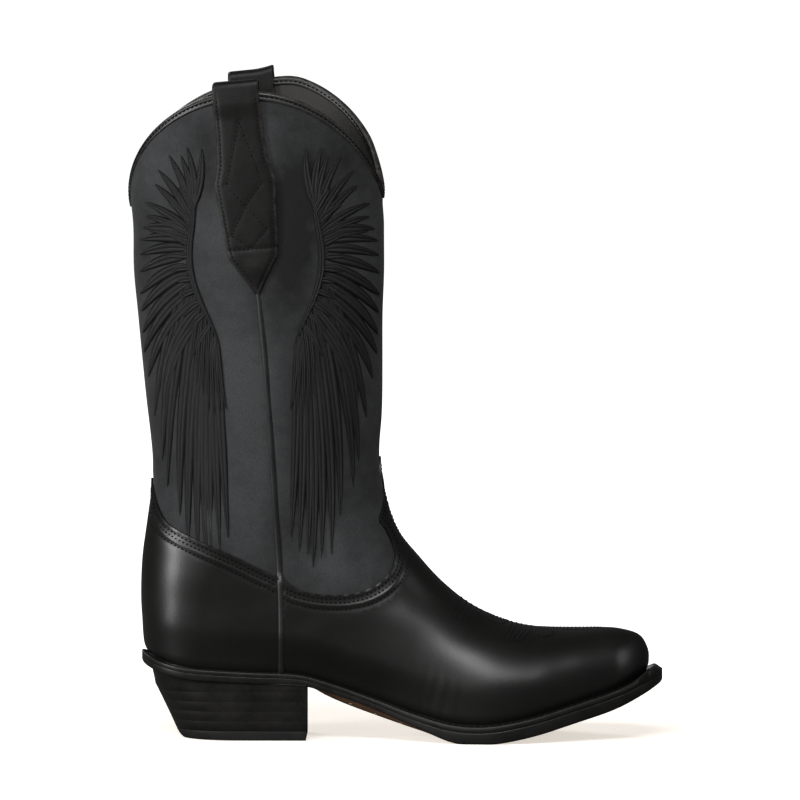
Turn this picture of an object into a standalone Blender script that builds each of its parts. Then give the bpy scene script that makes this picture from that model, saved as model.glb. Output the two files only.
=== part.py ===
"""A right-hand cowboy boot, built layer by layer as a bootmaker builds it.

Metres. +X points to the toe, +Z up, +Y to the inner side of the foot. The origin is on the
ground under the middle of the boot. Every piece of the upper is a shell cut from one skin:
the half width of the boot over its side view (see half_width), so layers stay parallel.
"""

import math

import bmesh
import bpy
import numpy as np
from mathutils import Vector
from mathutils.geometry import delaunay_2d_cdt

# ---------------------------------------------------------------- driving dimensions
LATERAL, MEDIAL = -1.0, 1.0       # the outer and the inner side of a right boot
GAP = 0.0003                      # between pieces that touch
CREST_GAP = 0.0007                # between the upper's lower edge and the curved welt
FOOT_LEATHER, SHAFT_LEATHER = 0.0014, 0.0012
LINING = 0.0009
STIFFENER = 0.0022                # heel counter and toe puff
SHAFT_STEP = 0.0016               # the shaft leather lies this far inside the foot leather's face

# Side view of the front, from the toe's lower edge up: x, z, depth over which it rounds off.
FRONT_PROFILE = [
    (0.1412, 0.0395, 0.016), (0.1410, 0.0490, 0.018), (0.1368, 0.0567, 0.022),
    (0.1250, 0.0606, 0.026), (0.1056, 0.0614, 0.032), (0.0878, 0.0613, 0.038),
    (0.0732, 0.0624, 0.043), (0.0570, 0.0670, 0.048), (0.0430, 0.0738, 0.052),
    (0.0257, 0.0872, 0.056), (0.0134, 0.1007, 0.058), (0.0028, 0.1142, 0.060),
    (-0.0028, 0.1276, 0.061), (-0.0061, 0.1411, 0.063), (-0.0076, 0.1560, 0.065),
    (-0.0068, 0.1800, 0.067), (-0.0060, 0.2150, 0.069), (-0.0055, 0.2600, 0.070),
    (-0.0050, 0.3000, 0.0715), (-0.0043, 0.3700, 0.0723),
]
# Side view of the back, from the heel's lower edge up.
BACK_PROFILE = [
    (-0.1385, 0.0440, 0.030), (-0.1402, 0.0580, 0.033), (-0.1413, 0.0780, 0.036),
    (-0.1410, 0.0940, 0.040), (-0.1388, 0.1142, 0.048), (-0.1360, 0.1344, 0.056),
    (-0.1362, 0.1512, 0.061), (-0.1378, 0.1680, 0.065), (-0.1408, 0.2000, 0.067),
    (-0.1440, 0.2300, 0.0685), (-0.1464, 0.2620, 0.070), (-0.1472, 0.2850, 0.071),
    (-0.1490, 0.3060, 0.0723), (-0.1490, 0.3700, 0.0723),
]
# Upper surface of the welt, on which the upper stands: x, z.
FEATHER = [
    (-0.1410, 0.0490), (-0.1370, 0.0467), (-0.1299, 0.0440), (-0.1144, 0.0407),
    (-0.0820, 0.0384), (-0.0524, 0.0368), (-0.0345, 0.0319), (-0.0106, 0.0236),
    (0.0132, 0.0155), (0.0341, 0.0105), (0.0520, 0.0100), (0.0759, 0.0140),
    (0.0997, 0.0209), (0.1235, 0.0285), (0.1400, 0.0360), (0.1500, 0.0415),
]
# x, half width at the feather line on the outer side and on the inner side, half width of the body.
FOOT_WIDTHS = [
    (-0.145, 0.0300, 0.0300, 0.0325), (-0.105, 0.0300, 0.0300, 0.0330),
    (-0.075, 0.0292, 0.0290, 0.0332), (-0.045, 0.0275, 0.0262, 0.0335),
    (-0.015, 0.0282, 0.0248, 0.0345), (0.010, 0.0335, 0.0285, 0.0370),
    (0.035, 0.0395, 0.0365, 0.0405), (0.058, 0.0412, 0.0420, 0.0422),
    (0.080, 0.0375, 0.0395, 0.0390), (0.100, 0.0312, 0.0325, 0.0325),
    (0.120, 0.0240, 0.0245, 0.0250), (0.136, 0.0190, 0.0190, 0.0195), (0.150, 0.0170, 0.0170, 0.0170),
]
BODY_LIFT = 0.024                 # height over which the body reaches its full width
TOE_TIP, TOE_ROUND = 0.1412, 0.020
HEEL_TIP, HEEL_ROUND = -0.1389, 0.031
# z, half width of the shaft
SHAFT_WIDTHS = [
    (0.09, 0.0345), (0.12, 0.0362), (0.15, 0.0385), (0.19, 0.0425), (0.24, 0.0452),
    (0.29, 0.0465), (0.38, 0.0472),
]
SHAFT_FROM, SHAFT_FULL = 0.082, 0.150     # the foot's widths give way to the shaft's here
TWIST, TWIST_AXIS = math.radians(4.0), -0.077     # the leg turns inwards by this much on its way to the top line
TWIST_FROM, TWIST_FULL = 0.130, 0.345
INNER_RISE = 0.0060                               # how much taller the leg's inner side stands before its front

RIM_FRONT, RIM_BACK, RIM_PEAK = 0.3060, 0.3005, 0.3635    # top line: the two dips and the side peaks
# Side seam in side view, from the welt to the top line: x, z.
SIDE_SEAM = [
    (-0.0626, 0.0380), (-0.0627, 0.0790), (-0.0660, 0.1355), (-0.0688, 0.1920),
    (-0.0732, 0.2517), (-0.0850, 0.3700),
]
# Top edge of the vamp from the side seam to where the tongue starts: x, z.
VAMP_LINE = [
    (-0.0628, 0.0907), (-0.0565, 0.0864), (-0.0475, 0.0836), (-0.0363, 0.0823),
    (-0.0252, 0.0826), (-0.0162, 0.0845), (-0.0084, 0.0883), (-0.0028, 0.0936),
    (0.0003, 0.1005), (0.0006, 0.1057), (-0.0017, 0.1121), (-0.0050, 0.1182), (-0.0082, 0.1226),
]
# The tongue on the shaft's front: half width, z.
TONGUE = [(0.0105, 0.1310), (0.0072, 0.1400), (0.0045, 0.1510), (0.0, 0.1618)]
# Top edge of the heel foxing from the side seam to the back: x, z.
FOXING_LINE = [
    (-0.0628, 0.0912), (-0.0755, 0.0970), (-0.0866, 0.1025), (-0.0978, 0.1074), (-0.1090, 0.1122),
    (-0.1202, 0.1173), (-0.1269, 0.1217), (-0.1314, 0.1285), (-0.1342, 0.1370), (-0.1361, 0.1444),
]

# Sole: x, total thickness of welt and outsole at the edge, how far the middle is domed downwards,
# distance of the sole's edge beyond the feather line.
SOLE_BUILD = [
    (-0.145, 0.0062, 0.0, 0.0018), (-0.060, 0.0060, 0.0, 0.0018), (-0.049, 0.0056, 0.0, 0.0018),
    (-0.040, 0.0054, 0.0036, 0.0019), (-0.030, 0.0054, 0.0052, 0.0020), (-0.0106, 0.0056, 0.0054, 0.0024), (0.0132, 0.0072, 0.0034, 0.0034),
    (0.0341, 0.0101, 0.0004, 0.0044), (0.0520, 0.0103, 0.0, 0.0046), (0.0997, 0.0103, 0.0, 0.0046),
    (0.1235, 0.0102, 0.0, 0.0050), (0.1500, 0.0090, 0.0, 0.0060),
]
SOLE_TIP, SOLE_TOE_ROUND = 0.1488, 0.024
SOLE_BACK, SOLE_HEEL_ROUND = -0.1408, 0.033
WELT_THICK, SEAT_THICK = 0.0036, 0.0024
WELT_INSIDE = 0.0052              # how far the welt reaches in under the upper
BREAST_X = -0.0490                # front face of the heel

HEEL_BACK_TOP, HEEL_BACK_FOOT = -0.1406, -0.1195      # back of the heel under the seat and at the ground
HEEL_HALF_TOP, HEEL_HALF_FOOT = 0.0312, 0.0268
HEEL_SEAT_Z = 0.0440
HEEL_ROUND = 0.031
HEEL_CAP_THICK = 0.0055
CAP_EDGE_INSET = 0.0020           # the rubber cap's back edge is rounded off by this much
LIFT_COUNT = 4
LIFT_THICK = 0.0052

STRAP_TOP = (-0.0848, 0.3690)     # middle of the strap's fold, in side view
STRAP_TIP = (-0.0732, 0.2505)
# distance down the strap from the fold, half width
STRAP_OUTLINE = [
    (0.0, 0.0128), (0.030, 0.0131), (0.046, 0.0142), (0.0565, 0.0170), (0.070, 0.0162),
    (0.0935, 0.0144), (0.0985, 0.0132), (0.1190, 0.0012),
]
STRAP_LOOP_DOWN = 0.0040          # the centre of the fold's bend lies this far down the strap
STRAP_INSIDE_LENGTH = 0.075
STRAP_THICK = 0.0018

STITCH_PITCH = 0.0058
BINDING_HEIGHT = 0.0050
BINDING_THICK = 0.0009
RIM_INSET = 0.0017                # from the top line down to the leather inside the binding

PITCH = 0.0150                    # spacing of the upper's mesh points
# Rows of mesh points along a profile, as shares of its rounding depth: close where the skin turns.
ROW_DEPTHS = (0.035, 0.13, 0.30, 0.55)
# Stations between which every layer of the bottom is straight, so that the layers stay parallel.
KNOTS = np.concatenate([
    np.linspace(-0.1450, -0.1250, 5), np.linspace(-0.1150, -0.0650, 5), [-0.0570],
    np.linspace(-0.0490, 0.0341, 10), np.linspace(0.0440, 0.1240, 9), np.linspace(0.1310, 0.1500, 4)])

COLOURS = {
    "smooth_leather": ((0.012, 0.011, 0.010), 0.30, 0.0),
    "brushed_leather": ((0.035, 0.038, 0.042), 0.72, 0.0),
    "lining_leather": ((0.020, 0.018, 0.016), 0.55, 0.0),
    "sole_edge": ((0.014, 0.013, 0.013), 0.38, 0.0),
    "insole_leather": ((0.36, 0.23, 0.13), 0.65, 0.0),
    "stacked_heel": ((0.015, 0.014, 0.014), 0.40, 0.0),
    "rubber": ((0.010, 0.010, 0.010), 0.75, 0.0),
    "cork": ((0.42, 0.27, 0.15), 0.90, 0.0),
    "steel": ((0.55, 0.55, 0.56), 0.35, 1.0),
    "wood": ((0.62, 0.47, 0.30), 0.70, 0.0),
    "thread": ((0.010, 0.010, 0.010), 0.60, 0.0),
    "board": ((0.30, 0.20, 0.12), 0.80, 0.0),
}


# ---------------------------------------------------------------- curves and tables
def smooth_curve(points, per_span=12):
    """A Catmull-Rom curve through the points, as a dense row of points."""
    p = np.array(points, float)
    p = np.vstack([2 * p[0] - p[1], p, 2 * p[-1] - p[-2]])
    t = np.linspace(0, 1, per_span, endpoint=False)[:, None]
    spans = []
    for a, b, c, d in zip(p[:-3], p[1:-2], p[2:-1], p[3:]):
        knots = [np.linalg.norm(q[:2] - r[:2]) ** 0.5 for q, r in ((b, a), (c, b), (d, c))]
        out = (c - b) - knots[1] * ((c - a) / (knots[0] + knots[1]) - (b - a) / knots[0])
        back = (c - b) - knots[1] * ((d - b) / (knots[1] + knots[2]) - (d - c) / knots[2])
        spans.append(b + t * out + t**2 * (3 * (c - b) - 2 * out - back) + t**3 * (2 * (b - c) + out + back))
    return np.vstack([*spans, p[-2:-1]])


def column(table, index):
    """A smooth function of a table's first column, giving the column of that index."""
    dense = smooth_curve([(row[0], row[index]) for row in table])
    return lambda x: np.interp(x, dense[:, 0], dense[:, 1])


def stepped(function):
    """The function made straight between the knots."""
    values = function(KNOTS)
    return lambda x: np.interp(x, KNOTS, values)


def ease(x, low, high):
    t = np.clip((x - low) / (high - low), 0, 1)
    return t * t * (3 - 2 * t)


def arch(t, power=2.0):
    """A quarter of a superellipse: 0 at an edge, 1 from t = 1 on."""
    t = np.clip(t, 0, 1)
    return (1 - (1 - t) ** power) ** (1 / power)


feather_z = stepped(column(FEATHER, 1))
FRONT = smooth_curve(FRONT_PROFILE)
BACK = smooth_curve(BACK_PROFILE)
feather_lateral, feather_medial, body_half = (column(FOOT_WIDTHS, i) for i in (1, 2, 3))
shaft_half = column(SHAFT_WIDTHS, 1)
sole_margin = column(SOLE_BUILD, 3)
sole_thick, sole_dome = (stepped(column(SOLE_BUILD, i)) for i in (1, 2))
welt_thick = stepped(lambda x: SEAT_THICK + (WELT_THICK - SEAT_THICK) * ease(x, -0.020, 0.030))
SEAM = smooth_curve(SIDE_SEAM)


def seam_x(z):
    return np.interp(z, SEAM[:, 1], SEAM[:, 0])


def front_x(z):
    return np.interp(z, FRONT[:, 1], FRONT[:, 0])


def back_x(z):
    return np.interp(z, BACK[:, 1], BACK[:, 0])


def ridge_z(x):
    """Height of the vamp's ridge over x, up to the ankle."""
    foot = FRONT[FRONT[:, 1] < 0.150]
    return np.interp(-np.asarray(x), -foot[:, 0], foot[:, 1])


def nearest(profile, x, z):
    """Distance of side-view points to a profile, and the rounding depth there."""
    a, b = profile[:-1, :2], profile[1:, :2]
    q = np.stack([np.ravel(x), np.ravel(z)], 1)[:, None, :]
    along = np.clip(((q - a) * (b - a)).sum(2) / ((b - a) ** 2).sum(1), 0, 1)
    away = np.linalg.norm(q - a - along[..., None] * (b - a), axis=2)
    k = away.argmin(1)
    rows = np.arange(len(k))
    t = along[rows, k]
    depth = profile[k, 2] * (1 - t) + profile[k + 1, 2] * t
    return away[rows, k].reshape(np.shape(x)), depth.reshape(np.shape(x))


def half_width(x, z, side):
    """Half width of the boot's skin over the side-view point x, z."""
    x, z = np.asarray(x, float), np.asarray(z, float)
    feather = feather_lateral(x) if side == LATERAL else feather_medial(x)
    body = feather + (body_half(x) - feather) * ease(z - feather_z(x), 0, BODY_LIFT)
    full = body + (shaft_half(z) - body) * ease(z, SHAFT_FROM, SHAFT_FULL)
    away, depth = nearest(FRONT, x, z)
    toe = ease(x, 0.040, 0.085)
    down = np.interp(-x, -FRONT[:, 0], FRONT[:, 2])
    away = away + toe * ((ridge_z(x) - z) - away)
    depth = depth + toe * (down - depth)
    back_away, back_depth = nearest(BACK, x, z)
    tip = arch((TOE_TIP - x) / TOE_ROUND)
    return full * arch(away / depth, 2.15) * arch(back_away / back_depth, 2.1) * tip


def top_line(angle):
    """Height of the top line at an angle round the shaft, 0 at the front and pi at the back."""
    forward = (1 + np.cos(angle)) / 2
    dip = RIM_BACK + (RIM_FRONT - RIM_BACK) * forward
    return dip + (RIM_PEAK - dip) * np.abs(np.sin(angle)) ** (1.0 + 0.3 * forward)


def rim_point(angle, lower=0.0):
    """Side-view point of the top line, taken lower by some distance."""
    z = top_line(angle) - lower
    front, back = front_x(z), back_x(z)
    return (front + back) / 2 + (front - back) / 2 * np.cos(angle), z


def seam_angle():
    """Angle round the shaft at which the side seam meets the top line."""
    angles = np.linspace(0.4 * math.pi, 0.7 * math.pi, 400)
    x, z = rim_point(angles)
    return float(angles[np.abs(x - seam_x(z)).argmin()])


def rim_angles(front):
    """Angles of the mesh points along half the top line of the front or the back panel."""
    return np.linspace(seam_angle(), 0 if front else math.pi, 15)


# ---------------------------------------------------------------- surface patches
def resample(curve, shares):
    """Points at these shares of a curve's length."""
    curve = np.array(curve, float)[:, :2]
    run = np.concatenate([[0], np.cumsum(np.linalg.norm(np.diff(curve, axis=0), axis=1))])
    return np.stack([np.interp(shares * run[-1], run, curve[:, i]) for i in (0, 1)], 1)


def evenly(length, pitch=PITCH):
    return np.linspace(0, 1, max(int(round(length / pitch)), 1) + 1)


def length_of(curve):
    return float(np.linalg.norm(np.diff(np.array(curve, float)[:, :2], axis=0), axis=1).sum())


def towards_end(count, gather=0.6):
    """Shares from 0 to 1 that crowd together towards 1, where the skin turns round its edge."""
    t = np.linspace(0, 1, count + 1)
    return (1 - gather) * t + gather * np.sin(t * math.pi / 2)


def inside(outline, points):
    """Whether side-view points lie within an outline."""
    a, b = outline, np.roll(outline, -1, axis=0)
    x, z = points[:, 0, None], points[:, 1, None]
    crosses = (a[:, 1] > z) != (b[:, 1] > z)
    rise = np.where(b[:, 1] == a[:, 1], 1, b[:, 1] - a[:, 1])
    return (crosses & (x < a[:, 0] + (z - a[:, 1]) * (b[:, 0] - a[:, 0]) / rise)).sum(1) % 2 == 1


def mesh_panel(free, along, crease=None):
    """Points, normals and triangles of a piece of skin, on both sides and joined down its profile.

    `free` is the piece's own edge in side view, from the profile round to the profile again, and
    `along` the points of the profile between its two ends, with the profile's rounding depth. The
    triangles' edges follow `crease`, if there is one.
    """
    outline = np.vstack([free, along[:, :2]])
    edge = np.vstack([free, free[:1]]) if not len(along) else free
    normal = moved(np.vstack([free[-1], along[:, :2], free[0]]), 1.0)[1:-1] - along[:, :2]
    if not inside(outline, along[len(along) // 2:len(along) // 2 + 1, :2] + 0.002 * normal[len(along) // 2])[0]:
        normal = -normal
    rows = [along[:, :2] + normal * along[:, 2:3] * share for share in ROW_DEPTHS]
    low, high = outline.min(0), outline.max(0)
    xs, zs = np.meshgrid(np.arange(low[0], high[0], PITCH), np.arange(low[1], high[1], PITCH * 0.87))
    xs = xs + PITCH / 2 * (np.arange(len(xs)) % 2)[:, None]
    grid = np.stack([xs.ravel(), zs.ravel()], 1)
    full = np.column_stack([np.vstack([free[-1], along[:, :2], free[0]]), np.interp(
        np.linspace(0, 1, len(along) + 2), np.linspace(0, 1, len(along)), along[:, 2])])
    away, depth = nearest(full, grid[:, 0], grid[:, 1])
    rows.append(grid[away > depth * (ROW_DEPTHS[-1] + 0.15)])
    points = np.vstack(rows)
    points = points[inside(outline, points)]
    closeness, _ = nearest(np.column_stack([edge, np.zeros(len(edge))]), points[:, 0], points[:, 1])
    own, _ = nearest(full, points[:, 0], points[:, 1])
    points = points[closeness > np.minimum(0.30 * PITCH, 0.6 * own + 0.0005)]
    border = [(k, (k + 1) % len(outline)) for k in range(len(outline))]
    if crease is not None:
        away, _ = nearest(np.column_stack([crease, np.zeros(len(crease))]), points[:, 0], points[:, 1])
        over = points[:, 1] > np.interp(points[:, 0], *crease[np.argsort(crease[:, 0])].T)
        points = points[(away > 0.25 * PITCH) & ~over]
        border += [(len(outline) + k, len(outline) + k + 1) for k in range(len(crease) - 1)]
        points = np.vstack([crease, points])
    flat = [Vector(q) for q in np.vstack([outline, points])]
    found, _, faces, *_ = delaunay_2d_cdt(flat, border, [], 1, 1e-7)
    flat = np.array([tuple(q) for q in found])
    on_profile, _ = nearest(full, flat[:, 0], flat[:, 1])
    middle = on_profile < 1e-6
    verts, normals, index = [], [], {}
    for side in (LATERAL, MEDIAL):
        y = np.where(middle, 0, side * half_width(flat[:, 0], flat[:, 1], side))
        n = skin_normals(flat[:, 0], flat[:, 1], side)
        for k, (x, z) in enumerate(flat):
            key = (k, 0 if middle[k] else side)
            if key not in index:
                index[key] = len(verts)
                verts.append((x, y[k], z))
                normals.append(n[k])
    triangles = [[index[(k, 0 if middle[k] else side)] for k in (face if side < 0 else face[::-1])]
                 for side in (LATERAL, MEDIAL) for face in faces if not middle[list(face)].all()]
    return np.array(verts), np.array(normals), np.array(triangles)


def skin_normals(x, z, side):
    """Outward unit normals of the skin. Within a hair of a profile they lie in the boot's middle plane."""
    front_away, back_away = nearest(FRONT, x, z)[0], nearest(BACK, x, z)[0]
    away = np.minimum(front_away, back_away)
    step = np.clip(away / 4, 1e-7, 5e-4)
    dx = (half_width(x + step, z, side) - half_width(x - step, z, side)) / (2 * step)
    dz = (half_width(x, z + step, side) - half_width(x, z - step, side)) / (2 * step)
    n = np.stack([-dx, np.full_like(dx, side), -dz], -1)
    for profile, distance, turn in ((FRONT, front_away, 1), (BACK, back_away, -1)):
        for k in np.argwhere(distance < 1e-6).ravel():
            i = int(np.hypot(profile[1:-1, 0] - x[k], profile[1:-1, 1] - z[k]).argmin()) + 1
            along = profile[i + 1, :2] - profile[i - 1, :2]
            n[k] = turn * along[1], 0, -turn * along[0]
    return n / np.linalg.norm(n, axis=-1, keepdims=True)


def between(curve, low, high):
    """The stretch of a curve between two heights, cut cleanly at both ends."""
    z = np.linspace(low, high, 60)
    return np.stack([np.interp(z, curve[:, 1], curve[:, 0]), z], 1)


SEAM_GAP = 0.0017                 # half the space the side welt takes between the panels
EDGE_GAP = 0.0003                 # from a panel's edge to the line it meets its neighbour on


def moved(curve, distance):
    """The curve shifted to its left by a distance."""
    along = np.gradient(curve[:, :2], axis=0)
    along /= np.linalg.norm(along, axis=1, keepdims=True)
    return curve[:, :2] + distance * along[:, ::-1] * [-1, 1]


def tongue_curve(wider):
    """Side-view points of the tongue's edge, made wider by a distance measured on the skin."""
    found = []
    for half, z in TONGUE[:-1]:
        inward = np.linspace(0, 0.03, 300)
        x = front_x(z) - inward
        found.append((float(np.interp(half + wider, half_width(x, np.full_like(x, z), LATERAL), x)), z))
    z = TONGUE[-1][1] + 2 * wider
    return [*found, (float(front_x(z)), z)]


def foot_top(front, raised):
    """The line between foot and shaft, from the side seam to the profile, raised by a distance."""
    if front:
        line = smooth_curve([*VAMP_LINE, *tongue_curve(raised)])
        shift = moved(line, raised) - line
        line += shift * (1 - ease(line[:, 1], VAMP_LINE[-1][1] - 0.002, TONGUE[0][1]))[:, None]
        line[:, 0] = np.minimum(line[:, 0], front_x(line[:, 1]))
    else:
        line = smooth_curve(FOXING_LINE)
        flat = ease(line[:, 1], 0.126, 0.136)[:, None]
        line += (moved(line, -raised) - line) * (1 - flat) + flat * [0, raised]
        line[:, 0] = np.maximum(line[:, 0], back_x(line[:, 1]))
        line[-1, 0] = back_x(line[-1, 1])
    line[:, 0] += (seam_x(line[0, 1]) - line[0, 0]) * (1 - ease(np.abs(line[:, 0] - line[0, 0]), 0, 0.0080))
    return line


def resting_edge(start, end, shares):
    """A lower edge over the welt, lifted until its straight stretches clear the welt's crests."""
    run = np.linspace(start, end, 240)
    edge = resample(np.stack([run, feather_z(run)], 1), shares)
    edge[:, 1] = feather_z(edge[:, 0])
    lift = np.zeros(len(edge))
    for k in range(len(edge) - 1):
        x = np.linspace(edge[k, 0], edge[k + 1, 0], 30)
        sag = max(float((feather_z(x) - np.linspace(edge[k, 1], edge[k + 1, 1], 30)).max()), 0)
        lift[k], lift[k + 1] = max(lift[k], sag), max(lift[k + 1], sag)
    edge[:, 1] += lift + CREST_GAP
    return edge


def line_between(front, raised):
    """The edge along which foot and shaft meet, drawn back a little on either side of the shared line."""
    line = foot_top(front, raised)
    edge = resample(line, np.linspace(0, 1, 17 if front else 11))
    out = 1 if front else -1
    edge[:, 0] += out * SEAM_GAP * (1 - ease(np.abs(edge[:, 0] - line[0, 0]), 0, 0.0120))
    return edge


def seam_edge(low, high, sign):
    """The straight-down edge of a panel beside the side welt."""
    edge = between(SEAM, low[1], high[1]) + [sign * SEAM_GAP, 0]
    edge[0], edge[-1] = low, high
    return resample(edge, evenly(length_of(edge)))


def profile_between(profile, low, high):
    """The profile's points strictly between two heights, evenly spaced."""
    part = profile[(profile[:, 1] > low) & (profile[:, 1] < high)]
    run = np.concatenate([[0], np.cumsum(np.linalg.norm(np.diff(part[:, :2], axis=0), axis=1))])
    at = evenly(run[-1], PITCH * 0.8) * run[-1]
    return np.stack([np.interp(at, run, part[:, k]) for k in range(3)], 1)[1:-1]


def foot_panel(front):
    """The vamp, or the foxing round the heel."""
    sign, profile = (1, FRONT) if front else (-1, BACK)
    bottom = resting_edge(float(seam_x(0.040)) + sign * SEAM_GAP, TOE_TIP if front else HEEL_TIP,
                          towards_end(22 if front else 11))
    top = line_between(front, -EDGE_GAP)
    free = np.vstack([bottom[::-1], seam_edge(bottom[0], top[0], sign)[1:-1], top])
    free[0, 0] = np.interp(free[0, 1], profile[:, 1], profile[:, 0])
    return mesh_panel(free, profile_between(profile, free[0, 1], free[-1, 1])[::-1])


def shaft_panel(front):
    """Front or back panel of the shaft."""
    sign, profile = (1, FRONT) if front else (-1, BACK)
    bottom = line_between(front, EDGE_GAP)
    angles = rim_angles(front)
    beside = sign * SEAM_GAP * (1 - ease(np.abs(angles - angles[0]), 0, 0.2))
    top, crease = (np.column_stack(rim_point(angles, lower)) for lower in (RIM_INSET, RIM_INSET + BINDING_HEIGHT))
    top[:, 0] += beside
    crease[:, 0] += beside
    seam = seam_edge(bottom[0], crease[0], sign)
    free = np.vstack([bottom[::-1], seam[1:], top])
    along = profile_between(profile, free[0, 1], crease[-1, 1])[::-1]
    depth = np.interp(crease[-1, 1], profile[:, 1], profile[:, 2])
    along = np.vstack([[*crease[-1], depth], along])
    return mesh_panel(free, along, crease[1:-1])


# ---------------------------------------------------------------- Blender objects
def material(name):
    colour, roughness, metallic = COLOURS[name]
    found = bpy.data.materials.get(name) or bpy.data.materials.new(name)
    found.use_nodes = True
    shader = found.node_tree.nodes["Principled BSDF"]
    shader.inputs["Base Color"].default_value = (*colour, 1)
    shader.inputs["Roughness"].default_value = roughness
    shader.inputs["Metallic"].default_value = metallic
    return found


def inner_rise(x, y, z):
    """How far a point of the leg is lifted because the inner side of the top line stands taller."""
    along = float(ease(x, -0.0740, -0.0500)) * (1 - float(ease(x, -0.0160, -0.0060)))
    return INNER_RISE * along * float(ease(y, 0.002, 0.016)) * float(ease(z, 0.250, 0.345))


def twisted(point):
    """The point turned about the leg's upright axis by as much as its height asks for."""
    turn = TWIST * float(ease(point[2], TWIST_FROM, TWIST_FULL))
    x, y = point[0] - TWIST_AXIS, point[1]
    return (TWIST_AXIS + x * math.cos(turn) + y * math.sin(turn), y * math.cos(turn) - x * math.sin(turn),
            point[2] + inner_rise(*point))


def add_object(name, bm, finish, smooth=True):
    """Turns a bmesh into a named object with its material."""
    for vert in bm.verts:
        if vert.co.z > TWIST_FROM:
            vert.co = twisted(vert.co)
    bmesh.ops.remove_doubles(bm, verts=bm.verts, dist=1e-6)
    bmesh.ops.dissolve_degenerate(bm, edges=bm.edges, dist=1e-6)
    bmesh.ops.recalc_face_normals(bm, faces=bm.faces)
    if bm.calc_volume(signed=True) < 0:
        bmesh.ops.reverse_faces(bm, faces=bm.faces)
    mesh = bpy.data.meshes.new(name)
    bm.to_mesh(mesh)
    bm.free()
    if smooth:
        mesh.shade_smooth()
        mesh.set_sharp_from_angle(angle=math.radians(40))
    obj = bpy.data.objects.new(name, mesh)
    obj.data.materials.append(material(finish))
    bpy.context.scene.collection.objects.link(obj)
    return obj


def add_layers(bm, outer, inner):
    """Two matching grids joined round their borders into one closed body."""
    rows, columns = outer.shape[:2]
    top = [[bm.verts.new(p) for p in row] for row in outer]
    low = [[bm.verts.new(p) for p in row] for row in inner]
    for i in range(rows - 1):
        for j in range(columns - 1):
            bm.faces.new((top[i][j], top[i][j + 1], top[i + 1][j + 1], top[i + 1][j]))
            bm.faces.new((low[i][j], low[i + 1][j], low[i + 1][j + 1], low[i][j + 1]))
    for j in range(columns - 1):
        for i in (0, rows - 1):
            bm.faces.new((top[i][j], top[i][j + 1], low[i][j + 1], low[i][j]))
    for i in range(rows - 1):
        for j in (0, columns - 1):
            bm.faces.new((top[i][j], top[i + 1][j], low[i + 1][j], low[i][j]))


def shell(name, panel, start, thick, finish, keep=None):
    """A leather piece that lies `start` inside the skin and is `thick` thick; keep(x, z) can cut it short."""
    verts, normals, triangles = panel
    if keep is not None:
        middles = verts[triangles].mean(1)
        triangles = triangles[keep(middles[:, 0], middles[:, 2])]
    bm = bmesh.new()
    used = np.unique(triangles)
    top = {k: bm.verts.new(verts[k] - normals[k] * start) for k in used}
    low = {k: bm.verts.new(verts[k] - normals[k] * (start + thick)) for k in used}
    open_edges = {}
    for a, b, c in triangles:
        bm.faces.new((top[a], top[b], top[c]))
        bm.faces.new((low[c], low[b], low[a]))
        for edge in ((a, b), (b, c), (c, a)):
            if edge[::-1] in open_edges:
                del open_edges[edge[::-1]]
            else:
                open_edges[edge] = True
    for a, b in open_edges:
        bm.faces.new((top[b], top[a], low[a], low[b]))
    return add_object(name, bm, finish)


def stations(low, high, low_round, high_round):
    """Stations from low to high: all the knots, and closer ones where an end is rounded."""
    ends = [low + low_round * (1 - math.cos(a)) for a in np.linspace(0, math.pi / 2, 6)] if low_round else [low]
    ends += [high - high_round * (1 - math.cos(a)) for a in np.linspace(0, math.pi / 2, 6)] if high_round else [high]
    inner = KNOTS[(KNOTS > low + low_round * 0.9) & (KNOTS < high - high_round * 0.9)]
    found = np.sort(np.concatenate([ends, inner]))
    return found[np.concatenate([[True], np.diff(found) > 0.0008])]


def plate(name, finish, half, x, top, bottom, across=5):
    """A plate with curved faces: half(x, side) is its half width; top and bottom take x and -1 to 1 across."""
    width = np.linspace(-1, 1, across)
    low, high = -half(x, LATERAL), half(x, MEDIAL)
    y = ((low + high) / 2)[:, None] + width[None] * ((high - low) / 2)[:, None]
    xs = np.repeat(x[:, None], across, 1)
    share = np.repeat(width[None], len(x), 0)
    bm = bmesh.new()
    add_layers(bm, np.stack([xs, y, top(xs, share)], 2), np.stack([xs, y, bottom(xs, share)], 2))
    return add_object(name, bm, finish)


def add_pin(bm, low, high, radius, sides=6):
    """A short rod between two points."""
    low, high = np.array(low, float), np.array(high, float)
    along = (high - low) / np.linalg.norm(high - low)
    aside = np.cross(along, [0, 1, 0])
    aside /= np.linalg.norm(aside)
    other = np.cross(along, aside)
    turns = [2 * math.pi * k / sides for k in range(sides)]
    rings = [[bm.verts.new(end + radius * (math.cos(a) * aside + math.sin(a) * other)) for a in turns]
             for end in (low, high)]
    for ring in rings:
        bm.faces.new(ring)
    for k in range(sides):
        bm.faces.new((rings[0][k], rings[0][(k + 1) % sides], rings[1][(k + 1) % sides], rings[1][k]))


def pins(name, ends, radius, finish):
    """One object for each rod, numbered from 1."""
    for k, (low, high) in enumerate(ends):
        bm = bmesh.new()
        add_pin(bm, low, high, radius)
        add_object(f"{name}_{k + 1}", bm, finish, smooth=False)


def drill(obj, ends, radius):
    """Cuts holes through an object with a hidden cutter."""
    bm = bmesh.new()
    for low, high in ends:
        add_pin(bm, low, high, radius + GAP)
    cutter = add_object(obj.name + "_holes", bm, "steel", smooth=False)
    cutter.hide_render = True
    cutter.display_type = "WIRE"
    cut = obj.modifiers.new("holes", "BOOLEAN")
    cut.operation = "DIFFERENCE"
    cut.solver = "EXACT"
    cut.object = cutter


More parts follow.
